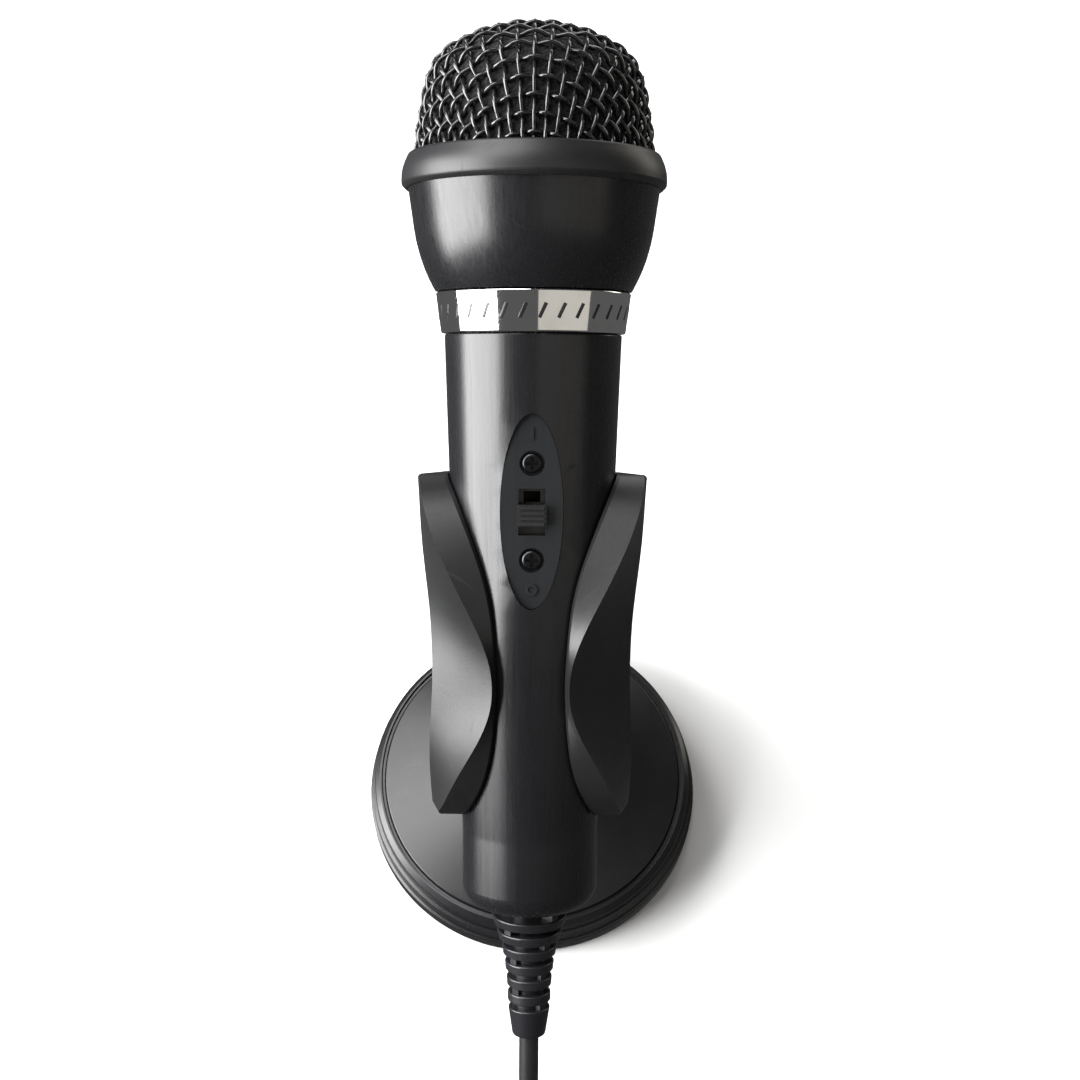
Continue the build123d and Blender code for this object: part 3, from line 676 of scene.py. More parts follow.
SATIN_BLACK = PlasticFinish(
    "satin_black_handle", (0.006, 0.006, 0.007), (0.009, 0.009, 0.010), 0.28,
    roughness_spread=0.03, streak=(1600.0, 1600.0, 10.0), streak_depth=0.09, scratch=0.06,
)
CHARCOAL = PlasticFinish(
    "charcoal_ring", (0.009, 0.009, 0.010), (0.013, 0.013, 0.014), 0.42, roughness_spread=0.04,
    grain_depth=0.00002, streak_depth=0.02,
)
CLIP_BLACK = PlasticFinish(
    "matte_clip", (0.008, 0.008, 0.0085), (0.012, 0.012, 0.0125), 0.4, roughness_spread=0.03,
    grain_depth=0.00003, grain_size=1900.0, streak_depth=0.02, scratch=0.1,
)
NECK_BLACK = PlasticFinish(
    "matte_neck", (0.012, 0.012, 0.013), (0.018, 0.018, 0.018), 0.5, grain_depth=0.00003,
    upright=True,
)
BASE_BLACK = PlasticFinish(
    "semi_gloss_base", (0.007, 0.007, 0.008), (0.011, 0.011, 0.012), 0.3, roughness_spread=0.05,
    scratch=0.12, streak=(300.0, 300.0, 300.0), upright=True,
)
PLATE_BLACK = PlasticFinish(
    "switch_plate_black", (0.009, 0.010, 0.011), (0.013, 0.014, 0.015), 0.38,
    grain_depth=0.00002,
)
ENAMEL = PlasticFinish(
    "band_enamel", (0.01, 0.01, 0.011), (0.03, 0.03, 0.03), 0.3, grain_depth=0.000004,
)
WIRE_ENAMEL = PlasticFinish(
    "grille_enamel", (0.007, 0.007, 0.008), (0.014, 0.014, 0.014), 0.2, coat=0.6,
    grain_depth=0.000004, streak_depth=0.03,
)
KNOB_BLACK = PlasticFinish("knob_black", (0.010, 0.010, 0.011), (0.02, 0.02, 0.02), 0.42)
INNER_BLACK = PlasticFinish("inner_black", (0.03, 0.03, 0.03), (0.045, 0.045, 0.045), 0.5)
# Painted shade: the board is darkened below phenolic's own brown, for the shade it lies in
# behind the switch slot.
BOARD_BROWN_SHADED = PlasticFinish("phenolic_board_painted_shade", (0.035, 0.018, 0.009), (0.05, 0.027, 0.014), 0.55)
WIRE_RED = PlasticFinish("wire_jacket", (0.35, 0.02, 0.015), (0.42, 0.05, 0.04), 0.4)
BOOT_BLACK = PlasticFinish(
    "boot_rubber", (0.009, 0.009, 0.011), (0.016, 0.016, 0.018), 0.33, grain_depth=0.00002,
)
JACKET_BLACK = PlasticFinish(
    "cord_jacket", (0.013, 0.013, 0.014), (0.022, 0.022, 0.023), 0.34, streak_depth=0.03,
    upright=True,
)
PLUG_BLACK = PlasticFinish("plug_grip", (0.013, 0.013, 0.014), (0.025, 0.025, 0.025), 0.4)
SOFT_RUBBER = PlasticFinish("soft_rubber", (0.02, 0.02, 0.02), (0.03, 0.03, 0.03), 0.7)
CHROME = MetalFinish("chrome_band", (0.86, 0.86, 0.85), (0.7, 0.7, 0.69), 0.06)
BLACK_STEEL = MetalFinish("black_steel", (0.05, 0.05, 0.055), (0.025, 0.025, 0.025), 0.32)
ZINC = MetalFinish("zinc_plate", (0.62, 0.63, 0.66), (0.4, 0.4, 0.4), 0.3)
WEIGHT_STEEL = MetalFinish("weight_steel", (0.35, 0.34, 0.33), (0.2, 0.15, 0.12), 0.45)
# Painted shade: the tinned frame is darkened far below tin's own colour, for the shade in the
# switch slot.
TIN_SHADED = MetalFinish("tinned_sheet_painted_shade", (0.11, 0.11, 0.105), (0.07, 0.07, 0.065), 0.3)
BRASS = MetalFinish("brass_tags", (0.75, 0.56, 0.25), (0.45, 0.32, 0.15), 0.3)
NICKEL = MetalFinish("nickel_pin", (0.8, 0.78, 0.73), (0.6, 0.56, 0.5), 0.14)
ALUMINIUM = MetalFinish("capsule_can", (0.8, 0.8, 0.81), (0.6, 0.6, 0.6), 0.28)
# The foams' and the loops' second colour is painted shade at the bottoms of their cells.
HEAD_FOAM = SoftFinish(
    "head_foam", (0.005, 0.005, 0.005), (0.001, 0.001, 0.001), 1500.0, 0.0004, fuzz=0.05,
)
FOOT_FOAM = SoftFinish("foot_foam", (0.03, 0.03, 0.032), (0.012, 0.012, 0.012), 2400.0, 0.0001)
TIE_LOOPS = SoftFinish(
    "hook_and_loop", (0.03, 0.03, 0.032), (0.008, 0.008, 0.008), 2600.0, 0.0002, fuzz=0.12,
)


class Materials:
    """Makes each finish once and hands it out by its finish."""

    def __init__(self) -> None:
        """Starts with nothing made."""
        self.made: dict[str, bpy.types.Material] = {}

    def get(self, finish: Finish) -> bpy.types.Material:
        """The material of that finish, made the first time it is asked for.

        Args:
            finish: one of the finishes above.

        Returns:
            Its material.
        """
        makers = {
            PlasticFinish: moulded_plastic, MetalFinish: worked_metal, SoftFinish: cellular_soft,
        }
        if finish.name not in self.made:
            self.made[finish.name] = makers[type(finish)](finish)
        return self.made[finish.name]


MATERIALS = Materials()


# ---- camera, light and floor --------------------------------------------------------------
@dataclass(frozen=True)
class Panel:
    """A soft rectangular light that faces the microphone from somewhere round its axis.

    Attributes:
        name: its name.
        turn: its angle from the microphone's front, positive to the right, in degrees.
        rise: its angle towards the microphone's head, in degrees.
        distance: from the microphone to its centre, in metres.
        width: its size round the axis, in metres.
        height: its size along the axis, in metres.
        radiance: brightness of its face.
        tint: the colour of its light.
    """

    name: str
    turn: float
    rise: float
    distance: float
    width: float
    height: float
    radiance: float
    tint: Colour = (1.0, 1.0, 1.0)

    def build(self, aim: Vector) -> None:
        """Adds the light.

        Args:
            aim: the point that it faces.
        """
        right = Vector((1.0, 0.0, 0.0))
        turn, rise = math.radians(self.turn), math.radians(self.rise)
        level = PLACING.front * math.cos(turn) + right * math.sin(turn)
        across = right * math.cos(turn) - PLACING.front * math.sin(turn)
        away = level * math.cos(rise) + PLACING.axis * math.sin(rise)
        data = bpy.data.lights.new(self.name, "AREA")
        data.shape = "RECTANGLE"
        data.size, data.size_y = self.width, self.height
        data.energy = math.pi * self.width * self.height * self.radiance
        data.color = self.tint
        facing = Matrix((across, away.cross(across), away)).transposed().to_4x4()
        lamp = add_object(self.name, data)
        lamp.matrix_world = Matrix.Translation(aim + away * self.distance) @ facing
        LOG.info("light %s", self.name)


CREAM = (1.0, 0.95, 0.85)
PANELS = (
    Panel("window_left", -72.0, 3.0, 0.9, 0.98, 0.72, 15.0),
    Panel("ceiling_soft", -40.0, 46.0, 1.3, 1.0, 1.0, 7.5),
    Panel("front_card", 38.0, 0.0, 0.8, 1.0, 0.4, 0.5, CREAM),
    Panel("rim_right", 118.0, 30.0, 0.9, 0.25, 0.6, 3.0, CREAM),
    Panel("fill_behind", 150.0, 62.0, 1.1, 0.7, 0.5, 2.5),
)


@dataclass
class Studio:
    """The camera, the soft lights and the floor.

    Attributes:
        camera_place: the lens, in metres.
        look_down: the camera's angle below the horizon, in degrees.
        roll: turn about its own axis, in degrees.
        lens: focal length, in millimetres.
        sensor: width of the sensor, in millimetres.
        aim_height: the point that the lights face, up the microphone's axis, in metres.
        floor_size: side of the floor, in metres.
        floor_white: how much light the floor gives back.
        floor_drop: how far the floor lies below the feet, in metres.
        surround: strength of the even surround.
    """

    camera_place: tuple[float, float, float] = (0.0015, -0.1259, 0.3545)
    look_down: float = 61.0
    roll: float = 0.4
    lens: float = 50.5
    sensor: float = 36.0
    aim_height: float = 0.085
    floor_size: float = 6.0
    floor_white: float = 0.92
    floor_drop: float = 0.05 * MM
    surround: float = 0.10

    def build(self) -> None:
        """Makes everything."""
        self.add_camera()
        self.add_floor()
        self.add_surround()
        aim = PLACING.origin + PLACING.axis * self.aim_height
        for panel in PANELS:
            panel.build(aim)

    def add_camera(self) -> None:
        """Adds the camera and makes it the scene's."""
        data = bpy.data.cameras.new("camera")
        data.lens = self.lens
        data.sensor_width = self.sensor
        camera = add_object("camera", data)
        turn = Matrix.Rotation(math.radians(90.0 - self.look_down), 4, "X")
        roll = Matrix.Rotation(math.radians(self.roll), 4, "Z")
        camera.matrix_world = Matrix.Translation(self.camera_place) @ turn @ roll
        bpy.context.scene.camera = camera

    def add_floor(self) -> None:
        """Adds a plain pale floor, which lights the object but isn't mirrored in it."""
        bm = bmesh.new()
        bmesh.ops.create_grid(bm, x_segments=2, y_segments=2, size=self.floor_size / 2)
        floor = finished_piece("floor", bm, Matrix.Translation((0.0, 0.0, -self.floor_drop)))
        floor.visible_glossy = False
        floor.data.materials.append(self.paper())

    def paper(self) -> bpy.types.Material:
        """The floor's pale matt paper, with a faint tooth.

        Returns:
            The material.
        """
        material = bpy.data.materials.new("pale_floor")
        material.use_nodes = True
        nodes, links = material.node_tree.nodes, material.node_tree.links
        nodes.clear()
        output = nodes.new("ShaderNodeOutputMaterial")
        output.label = "surface"
        shader = nodes.new("ShaderNodeBsdfPrincipled")
        shader.label = "pale matt paper"
        shader.inputs["Base Color"].default_value = (*(self.floor_white,) * 3, 1.0)
        shader.inputs["Roughness"].default_value = 0.9
        shader.inputs["Specular IOR Level"].default_value = 0.1
        tooth_frame = nodes.new("NodeFrame")
        tooth_frame.label = "relief: paper tooth"
        place = nodes.new("ShaderNodeTexCoord")
        place.label = "place on the floor"
        tooth = nodes.new("ShaderNodeTexNoise")
        tooth.label = "paper tooth"
        tooth.inputs["Scale"].default_value = 1500.0
        relief = nodes.new("ShaderNodeBump")
        relief.label = "tooth relief"
        relief.inputs["Strength"].default_value = 0.1
        relief.inputs["Distance"].default_value = 0.00002

        for effect, places in (
            (None, ((output, 600, 0), (shader, 300, 0))),
            (tooth_frame, ((place, -500, -200), (tooth, -250, -200), (relief, 0, -200))),
        ):
            for node, across, up in places:
                node.parent = effect
                node.location = (across, up)

        links.new(place.outputs["Object"], tooth.inputs["Vector"])
        links.new(tooth.outputs["Fac"], relief.inputs["Height"])
        links.new(relief.outputs["Normal"], shader.inputs["Normal"])
        links.new(shader.outputs["BSDF"], output.inputs["Surface"])
        return material

    def add_surround(self) -> None:
        """Adds an even pale surround and shows its light as it is."""
        world = bpy.data.worlds.new("studio")
        world.use_nodes = True
        nodes, links = world.node_tree.nodes, world.node_tree.links
        nodes.clear()
        output = nodes.new("ShaderNodeOutputWorld")
        output.label = "surround"
        output.location = (300, 0)
        glow = nodes.new("ShaderNodeBackground")
        glow.label = "even pale glow"
        glow.location = (0, 0)
        glow.inputs["Color"].default_value = (1.0, 1.0, 1.0, 1.0)
        glow.inputs["Strength"].default_value = self.surround
        links.new(glow.outputs["Background"], output.inputs["Surface"])
        bpy.context.scene.world = world
        bpy.context.scene.view_settings.view_transform = "Standard"


# ---- sub-assemblies of carried-over nodes -------------------------------------------------
@dataclass
class SubAssembly:
    """A group of pieces that is put together as one.

    Attributes:
        finishes: the finish of each carried-over node.
    """

    finishes: dict[str, Finish] = field(default_factory=dict)

    def dress_nodes(self) -> None:
        """Gives each carried-over node its finish and reports it."""
        for name, finish in self.finishes.items():
            node = frame["nodes"][name]
            node.data.materials.clear()
            node.data.materials.append(MATERIALS.get(finish))
            LOG.info("%s: %s dressed as %s", type(self).__name__, name, finish.name)

    def build(self) -> None:
        """Dresses the nodes. A group with pieces of its own makes them after that."""
        self.dress_nodes()


@dataclass
class Handle(SubAssembly):
    """The tapered handle with the cord's anchor and wires inside it."""

    finishes: dict[str, Finish] = field(default_factory=lambda: {
        "handle_shell": SATIN_BLACK,
        "cord_wires": WIRE_RED,
        "cord_anchor": INNER_BLACK,
        "strain_relief_boot": BOOT_BLACK,
    })


@dataclass
class Switch(SubAssembly):
    """The oval plate with its screws, the slide switch behind it and the ribbed knob."""

    finishes: dict[str, Finish] = field(default_factory=lambda: {
        "switch_plate": PLATE_BLACK,
        "plate_screws": BLACK_STEEL,
        "switch_frame": TIN_SHADED,
        "switch_base": BOARD_BROWN_SHADED,
        "switch_terminals": BRASS,
        "switch_knob": KNOB_BLACK,
    })


@dataclass
class Clip(SubAssembly):
    """The two-winged cradle with the bolt, nut and washers of its hinge."""

    finishes: dict[str, Finish] = field(default_factory=lambda: {
        "clip_cradle": CLIP_BLACK,
        "hinge_bolt": BLACK_STEEL,
        "hinge_nut": BLACK_STEEL,
        "hinge_washers": ZINC,
    })


@dataclass
class Stand(SubAssembly):
    """The neck and the weighted round base on its foam foot.

    Attributes:
        foot_outline: half section of the foam foot, from the axis underneath to the axis on
            top, in millimetres.
        foot_steps: steps round the foot.
    """

    finishes: dict[str, Finish] = field(default_factory=lambda: {
        "neck_post": NECK_BLACK,
        "neck_screw": ZINC,
        "cover_screws": ZINC,
        "base_weight": WEIGHT_STEEL,
        "base_shell": BASE_BLACK,
        "cover_plate": BASE_BLACK,
    })
    foot_outline: tuple[Point, ...] = (
        (0.0, 0.12), (6.0, 0.07), (12.0, 0.02), (20.0, 0.0), (33.0, 0.0), (35.1, 0.05),
        (35.65, 0.2), (35.9, 0.45), (35.9, 0.7), (35.75, 0.92), (35.5, 1.0), (0.0, 1.0),
    )
    foot_steps: int = 128

    def build(self) -> None:
        """Dresses the nodes and makes the foam foot, soft at its rim and flat on the desk."""
        self.dress_nodes()
        foot = finished_piece("foam_foot", spun(list(self.foot_outline), self.foot_steps))
        dress(foot, MATERIALS.get(FOOT_FOAM))
        settle(foot, "stand", "foot_pad")


@dataclass
class Plug(SubAssembly):
    """The jack plug on the cord's far end."""

    finishes: dict[str, Finish] = field(default_factory=lambda: {
        "plug_grip": PLUG_BLACK,
        "plug_pin": NICKEL,
        "plug_insulators": PLATE_BLACK,
    })


@dataclass
class CoilTie(SubAssembly):
    """The hook-and-loop strap round the coil, with its free end pressed down on top.

    Attributes:
        middle: centre of the bundle that it holds, on the desk, in millimetres.
        inside: its clear space across and up the bundle.
        thickness: of the strap.
        width: of the strap, along the bundle.
        corner: radius of its bends.
        corner_rows: rows of faces round a bend.
        edge: width of the bevel along its edges.
        edge_angle: smallest turn that counts as one of those edges, in degrees.
        tail: length of the free end.
        tail_shift: middle of the free end, across the bundle.
        tail_trim: how much narrower than the strap the free end is.
        tail_edge: radius of the free end's edges.
        tail_level: middle of the free end above the clear space, in thicknesses.
    """

    middle: Point = (-13.0, -181.5)
    inside: Point = (19.6, 7.9)
    thickness: float = 0.8
    width: float = 8.0
    corner: float = 2.0
    corner_rows: int = 6
    edge: float = 0.15
    edge_angle: float = 60.0
    tail: float = 12.0
    tail_shift: float = -2.2
    tail_trim: float = 0.3
    tail_edge: float = 0.25
    tail_level: float = 1.45

    def loop(self) -> bmesh.types.BMesh:
        """The closed turn of the strap.

        Returns:
            The loop, in metres, round its own centre.
        """
        bm = bmesh.new()
        bmesh.ops.create_cube(bm, size=1.0)
        size = (self.width, self.inside[0], self.inside[1])
        bmesh.ops.scale(bm, vec=[s * MM for s in size], verts=bm.verts)
        ends = [f for f in bm.faces if abs(f.normal.x) > 0.9]
        bmesh.ops.delete(bm, geom=ends, context="FACES_ONLY")
        bends = [e for e in bm.edges if len(e.link_faces) == 2]
        round_edges(bm, bends, self.corner, self.corner_rows)
        bmesh.ops.recalc_face_normals(bm, faces=bm.faces)
        bmesh.ops.solidify(bm, geom=bm.faces[:], thickness=-self.thickness * MM)
        soften(bm, self.edge, self.edge_angle)
        return bm

    def build(self) -> None:
        """Makes the strap."""
        strap = self.loop()
        top = self.inside[1] / 2 + self.thickness * self.tail_level
        end_size = (self.width - self.tail_trim, self.tail, self.thickness)
        join_into(strap, box_mesh(end_size, (0.0, self.tail_shift, top), self.tail_edge))
        height = self.inside[1] / 2 + self.thickness
        place = Matrix.Translation([v * MM for v in (*self.middle, height)])
        piece = finished_piece("tie_strap", strap, place)
        dress(piece, MATERIALS.get(TIE_LOOPS))
        settle(piece, "stand", "cord_tie")


# ---- cord ---------------------------------------------------------------------------------
@dataclass
class Cord:
    """The signal cord: a lead out of the boot, then the run, the coil and the end.

    Attributes:
        diameter: of the jacket, in metres.
        lead: where the lead starts and stops, measured up the axis from the frame's origin.
        boot_end: where the boot ends, measured the same way.
        run: the route's points from the lead to the coil, in metres.
        end: the route's points from the coil to the plug, in metres.
        coil_centre: centre of the coil on the desk.
        coil_mean: radius at the middle of the turns.
        columns: turns side by side in a row.
        points_per_turn: control points in one turn.
        open_share: share of the top layer's last turn that is left open.
        climb_dip: how far the turn that climbs runs inwards, in diameters.
        tie_angle: the tie's place round the coil, in degrees.
        tie_reach: angle to each side of the tie over which it lifts the coil, in degrees.
        tie_lift: how far the tie under the coil lifts it.
        boot_margin: how far inside the boot the lead would start to follow the clip; its point
            is worked out but not used.
        clip_margin: how far above the lead's end the turn from microphone to clip would stop and
            the turn from clip to stand start; its points are worked out but not used.
        straight: how far the loose cord runs on along the axis below the lead.
        route_order: order of the curve.
        route_steps: steps along the curve from one control point to the next.
        jacket_pairs: pairs of faces round the jacket beyond the first four faces.
        end_angle: corners sharper than this stay crisp, in degrees.
    """

    diameter: float = 0.0038
    lead: tuple[float, float] = (0.019, -0.033)
    boot_end: float = -0.0216
    run: list[tuple[float, float, float]] = field(default_factory=lambda: [
        (0.001, -0.1030, 0.0206),
        (0.0034, -0.1145, 0.0082),
        (0.0086, -0.1275, 0.0019),
        (0.0146, -0.1430, 0.0019),
    ])
    end: list[tuple[float, float, float]] = field(default_factory=lambda: [
        (-0.0426, -0.1490, 0.0052),
        (-0.0450, -0.1385, 0.0040),
    ])
    coil_centre: Point = (-0.0130, -0.160)
    coil_mean: float = 0.0215
    columns: int = 5
    points_per_turn: int = 16
    open_share: float = 0.5
    climb_dip: float = 0.42
    tie_angle: float = -90.0
    tie_reach: float = 50.0
    tie_lift: float = 0.0009
    boot_margin: float = 0.002
    clip_margin: float = 0.001
    straight: float = 0.016
    route_order: int = 3
    route_steps: int = 6
    jacket_pairs: int = 5
    end_angle: float = 50.0

    def axis_point(self, distance: float) -> Vector:
        """The point on the microphone's axis that far up from its frame's origin."""
        return PLACING.origin + PLACING.axis * distance

    def coil_points(self) -> list[Vector]:
        """Control points of the coil: inwards along the desk, up, and outwards on top.

        Returns:
            The points in order, from where the run joins to where the end leaves.
        """
        inner = self.coil_mean - self.diameter * (self.columns - 1) / 2
        outer = self.coil_mean + self.diameter * (self.columns - 1) / 2
        low = self.diameter / 2
        inward = float(self.columns - 1)
        turns = inward + 1.0 + inward - self.open_share
        step = FULL_TURN / self.points_per_turn
        # Beside a control point the curve is three quarters it and an eighth each neighbour.
        own_share, neighbour_share = 0.75, 0.25
        draw_in = own_share + neighbour_share * math.cos(step)
        points = []
        for n in range(int(turns * self.points_per_turn) + 1):
            turn = n / self.points_per_turn
            if turn <= inward:
                radius, height = outer - self.diameter * turn, low
            elif turn <= inward + 1.0:
                rise = turn - inward
                radius = inner - self.climb_dip * self.diameter * math.sin(math.pi * rise)
                height = low + self.diameter * rise
            else:
                radius = inner + self.diameter * (turn - inward - 1.0)
                height = low + self.diameter
            angle = -FULL_TURN * turn
            from_tie = abs((math.degrees(angle) - self.tie_angle + 180.0) % 360.0 - 180.0)
            height += self.tie_lift * max(0.0, 1.0 - from_tie / self.tie_reach)
            radius /= draw_in
            points.append(Vector((
                self.coil_centre[0] + radius * math.cos(angle),
                self.coil_centre[1] + radius * math.sin(angle),
                height,
            )))
        return points

    def route_curve(self, name: str, points: list[Vector]) -> bpy.types.Object:
        """A smooth curve with those control points.

        Args:
            name: the curve's name.
            points: its control points.

        Returns:
            The curve object, with no thickness.
        """
        curve = bpy.data.curves.new(name, "CURVE")
        curve.dimensions = "3D"
        spline = curve.splines.new("NURBS")
        spline.points.add(len(points) - 1)
        for control, point in zip(spline.points, points):
            control.co = (*point, 1.0)
        spline.order_u = self.route_order
        spline.use_endpoint_u = True
        spline.resolution_u = self.route_steps
        return add_object(name, curve)

    def tube(self, name: str, points: list[Vector]) -> tuple[bpy.types.Object, list[Vector]]:
        """A round jacket along a route.

        Args:
            name: the piece's name.
            points: the route's control points.

        Returns:
            The piece and the points that its centre follows.
        """
        route = self.route_curve(name + "_route", points)
        line = as_mesh(route)
        path = [v.co.copy() for v in line.vertices]
        bpy.data.meshes.remove(line)
        route.data.bevel_depth = self.diameter / 2
        route.data.bevel_resolution = self.jacket_pairs
        route.data.use_fill_caps = True
        mesh = as_mesh(route)
        mesh.name = name
        bpy.data.objects.remove(route)
        mesh.set_sharp_from_angle(angle=math.radians(self.end_angle))
        return add_object(name, mesh), path

    def length_of(self, path: list[Vector]) -> float:
        """Length along a path."""
        return sum((b - a).length for a, b in zip(path, path[1:]))

    def build(self) -> None:
        """Makes the lead and the loose cord."""
        jacket = MATERIALS.get(JACKET_BLACK)
        top, bottom = (self.axis_point(d) for d in self.lead)
        middle = self.axis_point((self.lead[0] + self.lead[1]) / 2)
        lead, lead_path = self.tube("cord_to_boot", [top, middle, bottom])
        dress(lead, jacket)
        self.axis_point(self.boot_end + self.boot_margin)
        self.axis_point(self.lead[1] + self.clip_margin)
        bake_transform(lead)
        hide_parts("cord_lead")
        self.axis_point(self.boot_end)
        start = [bottom, self.axis_point(self.lead[1] - self.straight)]
        points = start + [Vector(p) for p in self.run] + self.coil_points()
        points += [Vector(p) for p in self.end]
        loose, loose_path = self.tube("cord_loose", points)
        dress(loose, jacket)
        bottom + PLACING.axis * self.clip_margin
        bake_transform(loose)
        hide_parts("cord_run", "cord_coil", "cord_end")
        LOG.info("cord: lead %.3f m, loose %.3f m", self.length_of(lead_path),
                 self.length_of(loose_path))


# ---- grille -------------------------------------------------------------------------------
class Family(Enum):
    """The two families of wires in the weave."""

    WARP = 0
    WEFT = 1


@dataclass
class Grille:
    """The woven ball grille and the foam inside it.

    Attributes:
        head_top: the grille's top in the microphone's frame, in millimetres.
        crown: radius and angle of the crown's arc.
        shoulder: radius and angle of the shoulder's arc.
        wall: radius and angle of the nearly straight wall's arc.
        wire: wire diameter.
        wire_pairs: pairs of faces round a wire beyond the first four faces.
        crimp: how much the wave of a wire is flattened at its crests.
        pitch: spacing of the wires in the flat sheet.
        steps_per_cell: points along a wire from one crossing to the next.
        fewest_steps: a wire with fewer steps than this each way is left out.
        foam_inset: how far inside the outline the foam's skin lies, in wire diameters.
        foam_inner: how far inside the outline the foam's inner face lies.
        foam_rows: rows of faces up the foam's skin and its inner face.
        foam_steps: steps round the foam.
        lumps: coarse and fine lumps of the foam's skin across a metre.
        lump_depth: depth of the lumps.
    """

    head_top: float = 169.1
    crown: Point = (30.0, 31.0)
    shoulder: Point = (10.3, 45.0)
    wall: Point = (72.0, 13.0)
    wire: float = 0.8
    wire_pairs: int = 1
    crimp: float = 0.25
    pitch: float = 3.2
    steps_per_cell: int = 7
    fewest_steps: int = 3
    foam_inset: float = 1.7
    foam_inner: float = 5.0
    foam_rows: tuple[int, int] = (40, 12)
    foam_steps: int = 160
    lumps: Point = (1400.0, 3100.0)
    lump_depth: float = 0.16

    def arcs(self, inset: float) -> list[tuple[float, float, float, float, float]]:
        """The outline's arcs, moved inwards.

        Args:
            inset: how far inside the outline, in millimetres.

        Returns:
            For each arc its centre's radius and height, its own radius and its first and last
            angle from the axis, in radians.
        """
        found = []
        centre_r, centre_z, angle = 0.0, self.head_top - self.crown[0], 0.0
        radius = self.crown[0]
        for next_radius, turn in (self.crown, self.shoulder, self.wall):
            shift = radius - next_radius
            centre_r += shift * math.sin(angle)
            centre_z += shift * math.cos(angle)
            radius = next_radius
            last = angle + math.radians(turn)
            found.append((centre_r, centre_z, radius - inset, angle, last))
            angle = last
        return found

    def meridian(self, distance: float, inset: float) -> tuple[float, float, float]:
        """A point of the outline.

        Args:
            distance: length along the outline from the top, in millimetres.
            inset: how far inside the outline.

        Returns:
            Its radius, its height and the angle of its normal from the axis.
        """
        left = distance
        for centre_r, centre_z, radius, first, last in self.arcs(inset):
            span = radius * (last - first)
            angle = first + min(left, span) / radius
            if left <= span:
                break
            left -= span
        return (centre_r + radius * math.sin(angle), centre_z + radius * math.cos(angle), angle)

    def rim_distance(self, inset: float) -> float:
        """Length of the outline from the top to the rim."""
        return sum(radius * (last - first) for _, _, radius, first, last in self.arcs(inset))

    def wire_point(self, along: float, across: float, lift: float, family: Family) -> Vector:
        """A point of a wire, in metres in the microphone's frame.

        Args:
            along: place along the wire in the flat sheet, in millimetres.
            across: the wire's place across the sheet.
            lift: height above the middle of the weave.
            family: which way the wire runs.

        Returns:
            The point.
        """
        x, y = (across, along) if family is Family.WARP else (along, across)
        distance = math.hypot(x, y)
        radius, height, angle = self.meridian(distance, self.wire)
        round_angle = math.atan2(y, x)
        radius += lift * math.sin(angle)
        height += lift * math.cos(angle)
        return Vector((
            radius * math.cos(round_angle) * MM, radius * math.sin(round_angle) * MM, height * MM
        ))

    def weave(self) -> bpy.types.Object:
        """The woven wire sheet, pressed into a dome.

        Returns:
            The piece.
        """
        reach = self.rim_distance(self.wire)
        count = int(reach / self.pitch)
        curve = bpy.data.curves.new("grille_wires", "CURVE")
        curve.dimensions = "3D"
        curve.bevel_depth = self.wire / 2 * MM
        curve.bevel_resolution = self.wire_pairs
        for family in Family:
            for index in range(-count, count + 1):
                across = index * self.pitch
                half = math.sqrt(max(0.0, reach**2 - across**2))
                steps = int(half / self.pitch * self.steps_per_cell)
                if steps < self.fewest_steps:
                    continue
                spline = curve.splines.new("POLY")
                spline.points.add(2 * steps)
                for n in range(-steps, steps + 1):
                    along = half * n / steps
                    phase = math.pi * (along / self.pitch + index + family.value)
                    wave = math.cos(phase)
                    lift = self.wire / 2 * wave * (1.0 + self.crimp - self.crimp * wave * wave)
                    point = self.wire_point(along, across, lift, family)
                    spline.points[n + steps].co = (*point, 1.0)
        carrier = add_object("grille_wires", curve)
        mesh = as_mesh(carrier)
        bpy.data.objects.remove(carrier)
        mesh.name = "grille_weave"
        mesh.transform(PLACING.matrix)
        return add_object("grille_weave", mesh)

    def windscreen(self) -> bpy.types.Object:
        """The foam dome inside the weave, with a rough open skin.

        Returns:
            The piece.
        """
        outline = []
        rows, inner_rows = self.foam_rows
        for inset, count, steps in (
            (self.foam_inset * self.wire, rows, range(rows + 1)),
            (self.foam_inner, inner_rows, range(inner_rows, -1, -1)),
        ):
            reach = self.rim_distance(inset)
            outline += [self.meridian(reach * n / count, inset)[:2] for n in steps]
        bm = spun(outline, self.foam_steps)
        bm.normal_update()
        coarse, fine = self.lumps
        for vert in bm.verts:
            rough = noise.noise(vert.co * coarse) + 0.5 * noise.noise(vert.co * fine)
            vert.co += vert.normal * self.lump_depth * MM * (rough - 0.5)
        return finished_piece("windscreen_foam", bm, PLACING.matrix, sharp_angle=180.0)

    def build(self) -> None:
        """Makes the weave and the foam."""
        weave = self.weave()
        dress(weave, MATERIALS.get(WIRE_ENAMEL))
        settle(weave, "microphone", "grille_mesh")
        foam = self.windscreen()
        dress(foam, MATERIALS.get(HEAD_FOAM))
        settle(foam, "microphone", "grille_foam")


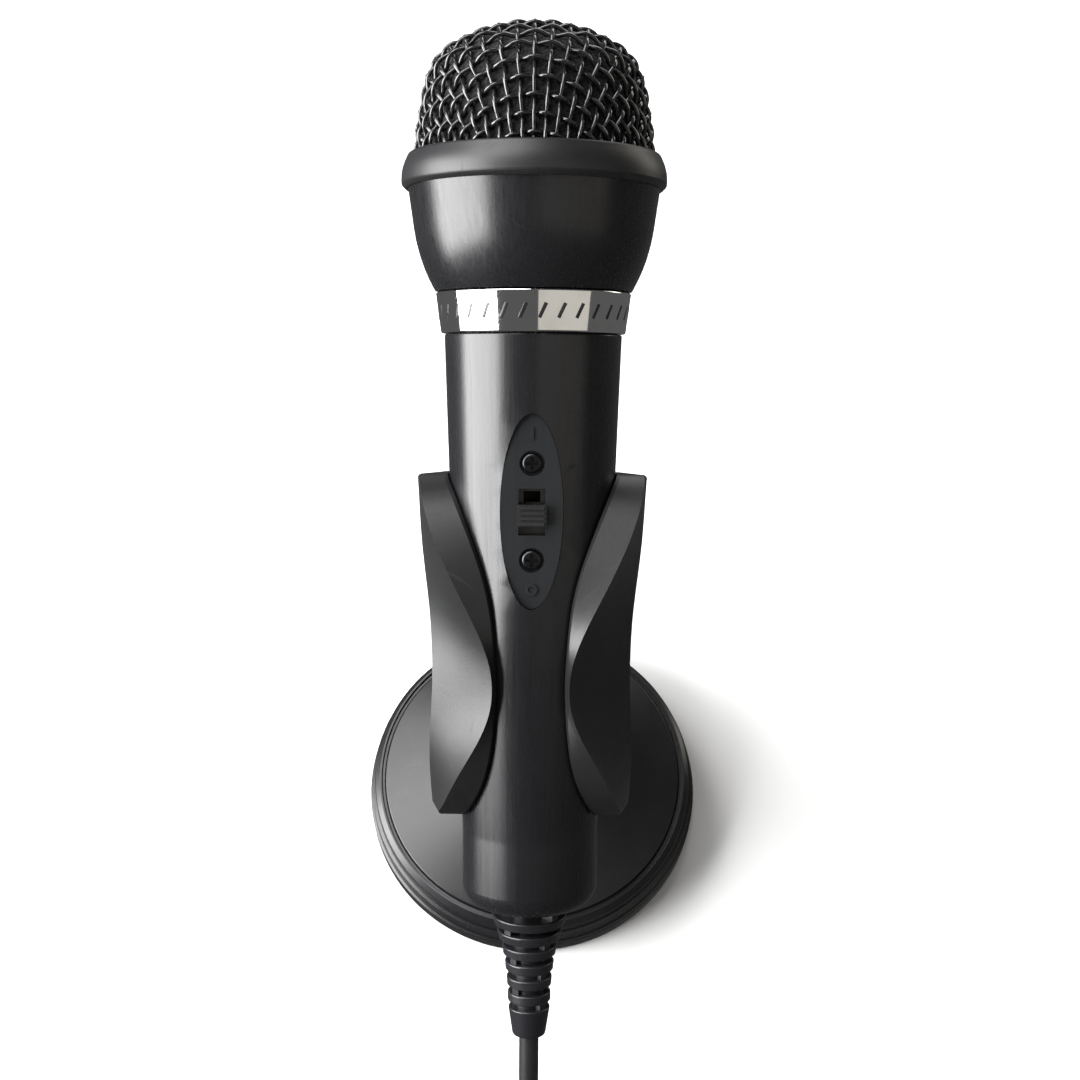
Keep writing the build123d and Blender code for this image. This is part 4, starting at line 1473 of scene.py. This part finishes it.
# ---- chrome band --------------------------------------------------------------------------
@dataclass
class BandInlay:
    """A plain row of slanted dark enamel strokes let into the chrome band.

    Attributes:
        band_low: radius and height of the band's lower edge, in millimetres.
        band_high: radius and height of its upper edge.
        count: strokes round the band.
        bar: width, thickness and height of a stroke.
        edge: radius of its edges.
        slant: its turn in the band's face, in degrees.
        proud: how far its face stands out of the chrome.
    """

    band_low: Point = (17.0, 113.2)
    band_high: Point = (18.0, 120.65)
    count: int = 32
    bar: tuple[float, float, float] = (0.75, 0.4, 2.9)
    edge: float = 0.12
    slant: float = 24.0
    proud: float = 0.03

    def build(self) -> None:
        """Makes the row of strokes."""
        lean = math.atan2(
            self.band_high[0] - self.band_low[0], self.band_high[1] - self.band_low[1]
        )
        radius = (self.band_low[0] + self.band_high[0]) / 2 + self.proud - self.bar[1] / 2
        height = (self.band_low[1] + self.band_high[1]) / 2
        bars = bmesh.new()
        for n in range(self.count):
            bar = box_mesh(self.bar, (0.0, 0.0, 0.0), self.edge)
            place = Matrix.Rotation(FULL_TURN * (n + 0.5) / self.count, 4, "Z")
            place @= Matrix.Translation((0, -radius * MM, height * MM))
            place @= Matrix.Rotation(lean, 4, "X")
            place @= Matrix.Rotation(math.radians(self.slant), 4, "Y")
            bmesh.ops.transform(bar, matrix=place, verts=bar.verts)
            join_into(bars, bar)
        inlay = finished_piece("band_inlay", bars, PLACING.matrix)
        dress(inlay, MATERIALS.get(ENAMEL))
        settle(inlay, "microphone")


# ---- head ---------------------------------------------------------------------------------
@dataclass
class Head(SubAssembly):
    """The bowl, its clamp ring, the chrome band, the grille and the capsule inside."""

    finishes: dict[str, Finish] = field(default_factory=lambda: {
        "head_bowl": SATIN_BLACK,
        "clamp_ring": CHARCOAL,
        "chrome_band": CHROME,
        "head_collar": INNER_BLACK,
        "capsule_carrier": INNER_BLACK,
        "capsule_grommet": SOFT_RUBBER,
        "capsule": ALUMINIUM,
        "capsule_wires": WIRE_RED,
    })

    def build(self) -> None:
        """Dresses the nodes and makes the grille and the band's strokes."""
        self.dress_nodes()
        Grille().build()
        BandInlay().build()


def main() -> None:
    """Builds the sub-assemblies in order."""
    logging.basicConfig(level=logging.INFO, format="%(message)s")
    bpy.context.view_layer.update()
    Studio().build()
    CoilTie().build()
    Cord().build()
    for sub_assembly in (Head(), Handle(), Switch(), Clip(), Stand(), Plug()):
        sub_assembly.build()
    bpy.context.view_layer.update()


if __name__ == "__main__":
    main()
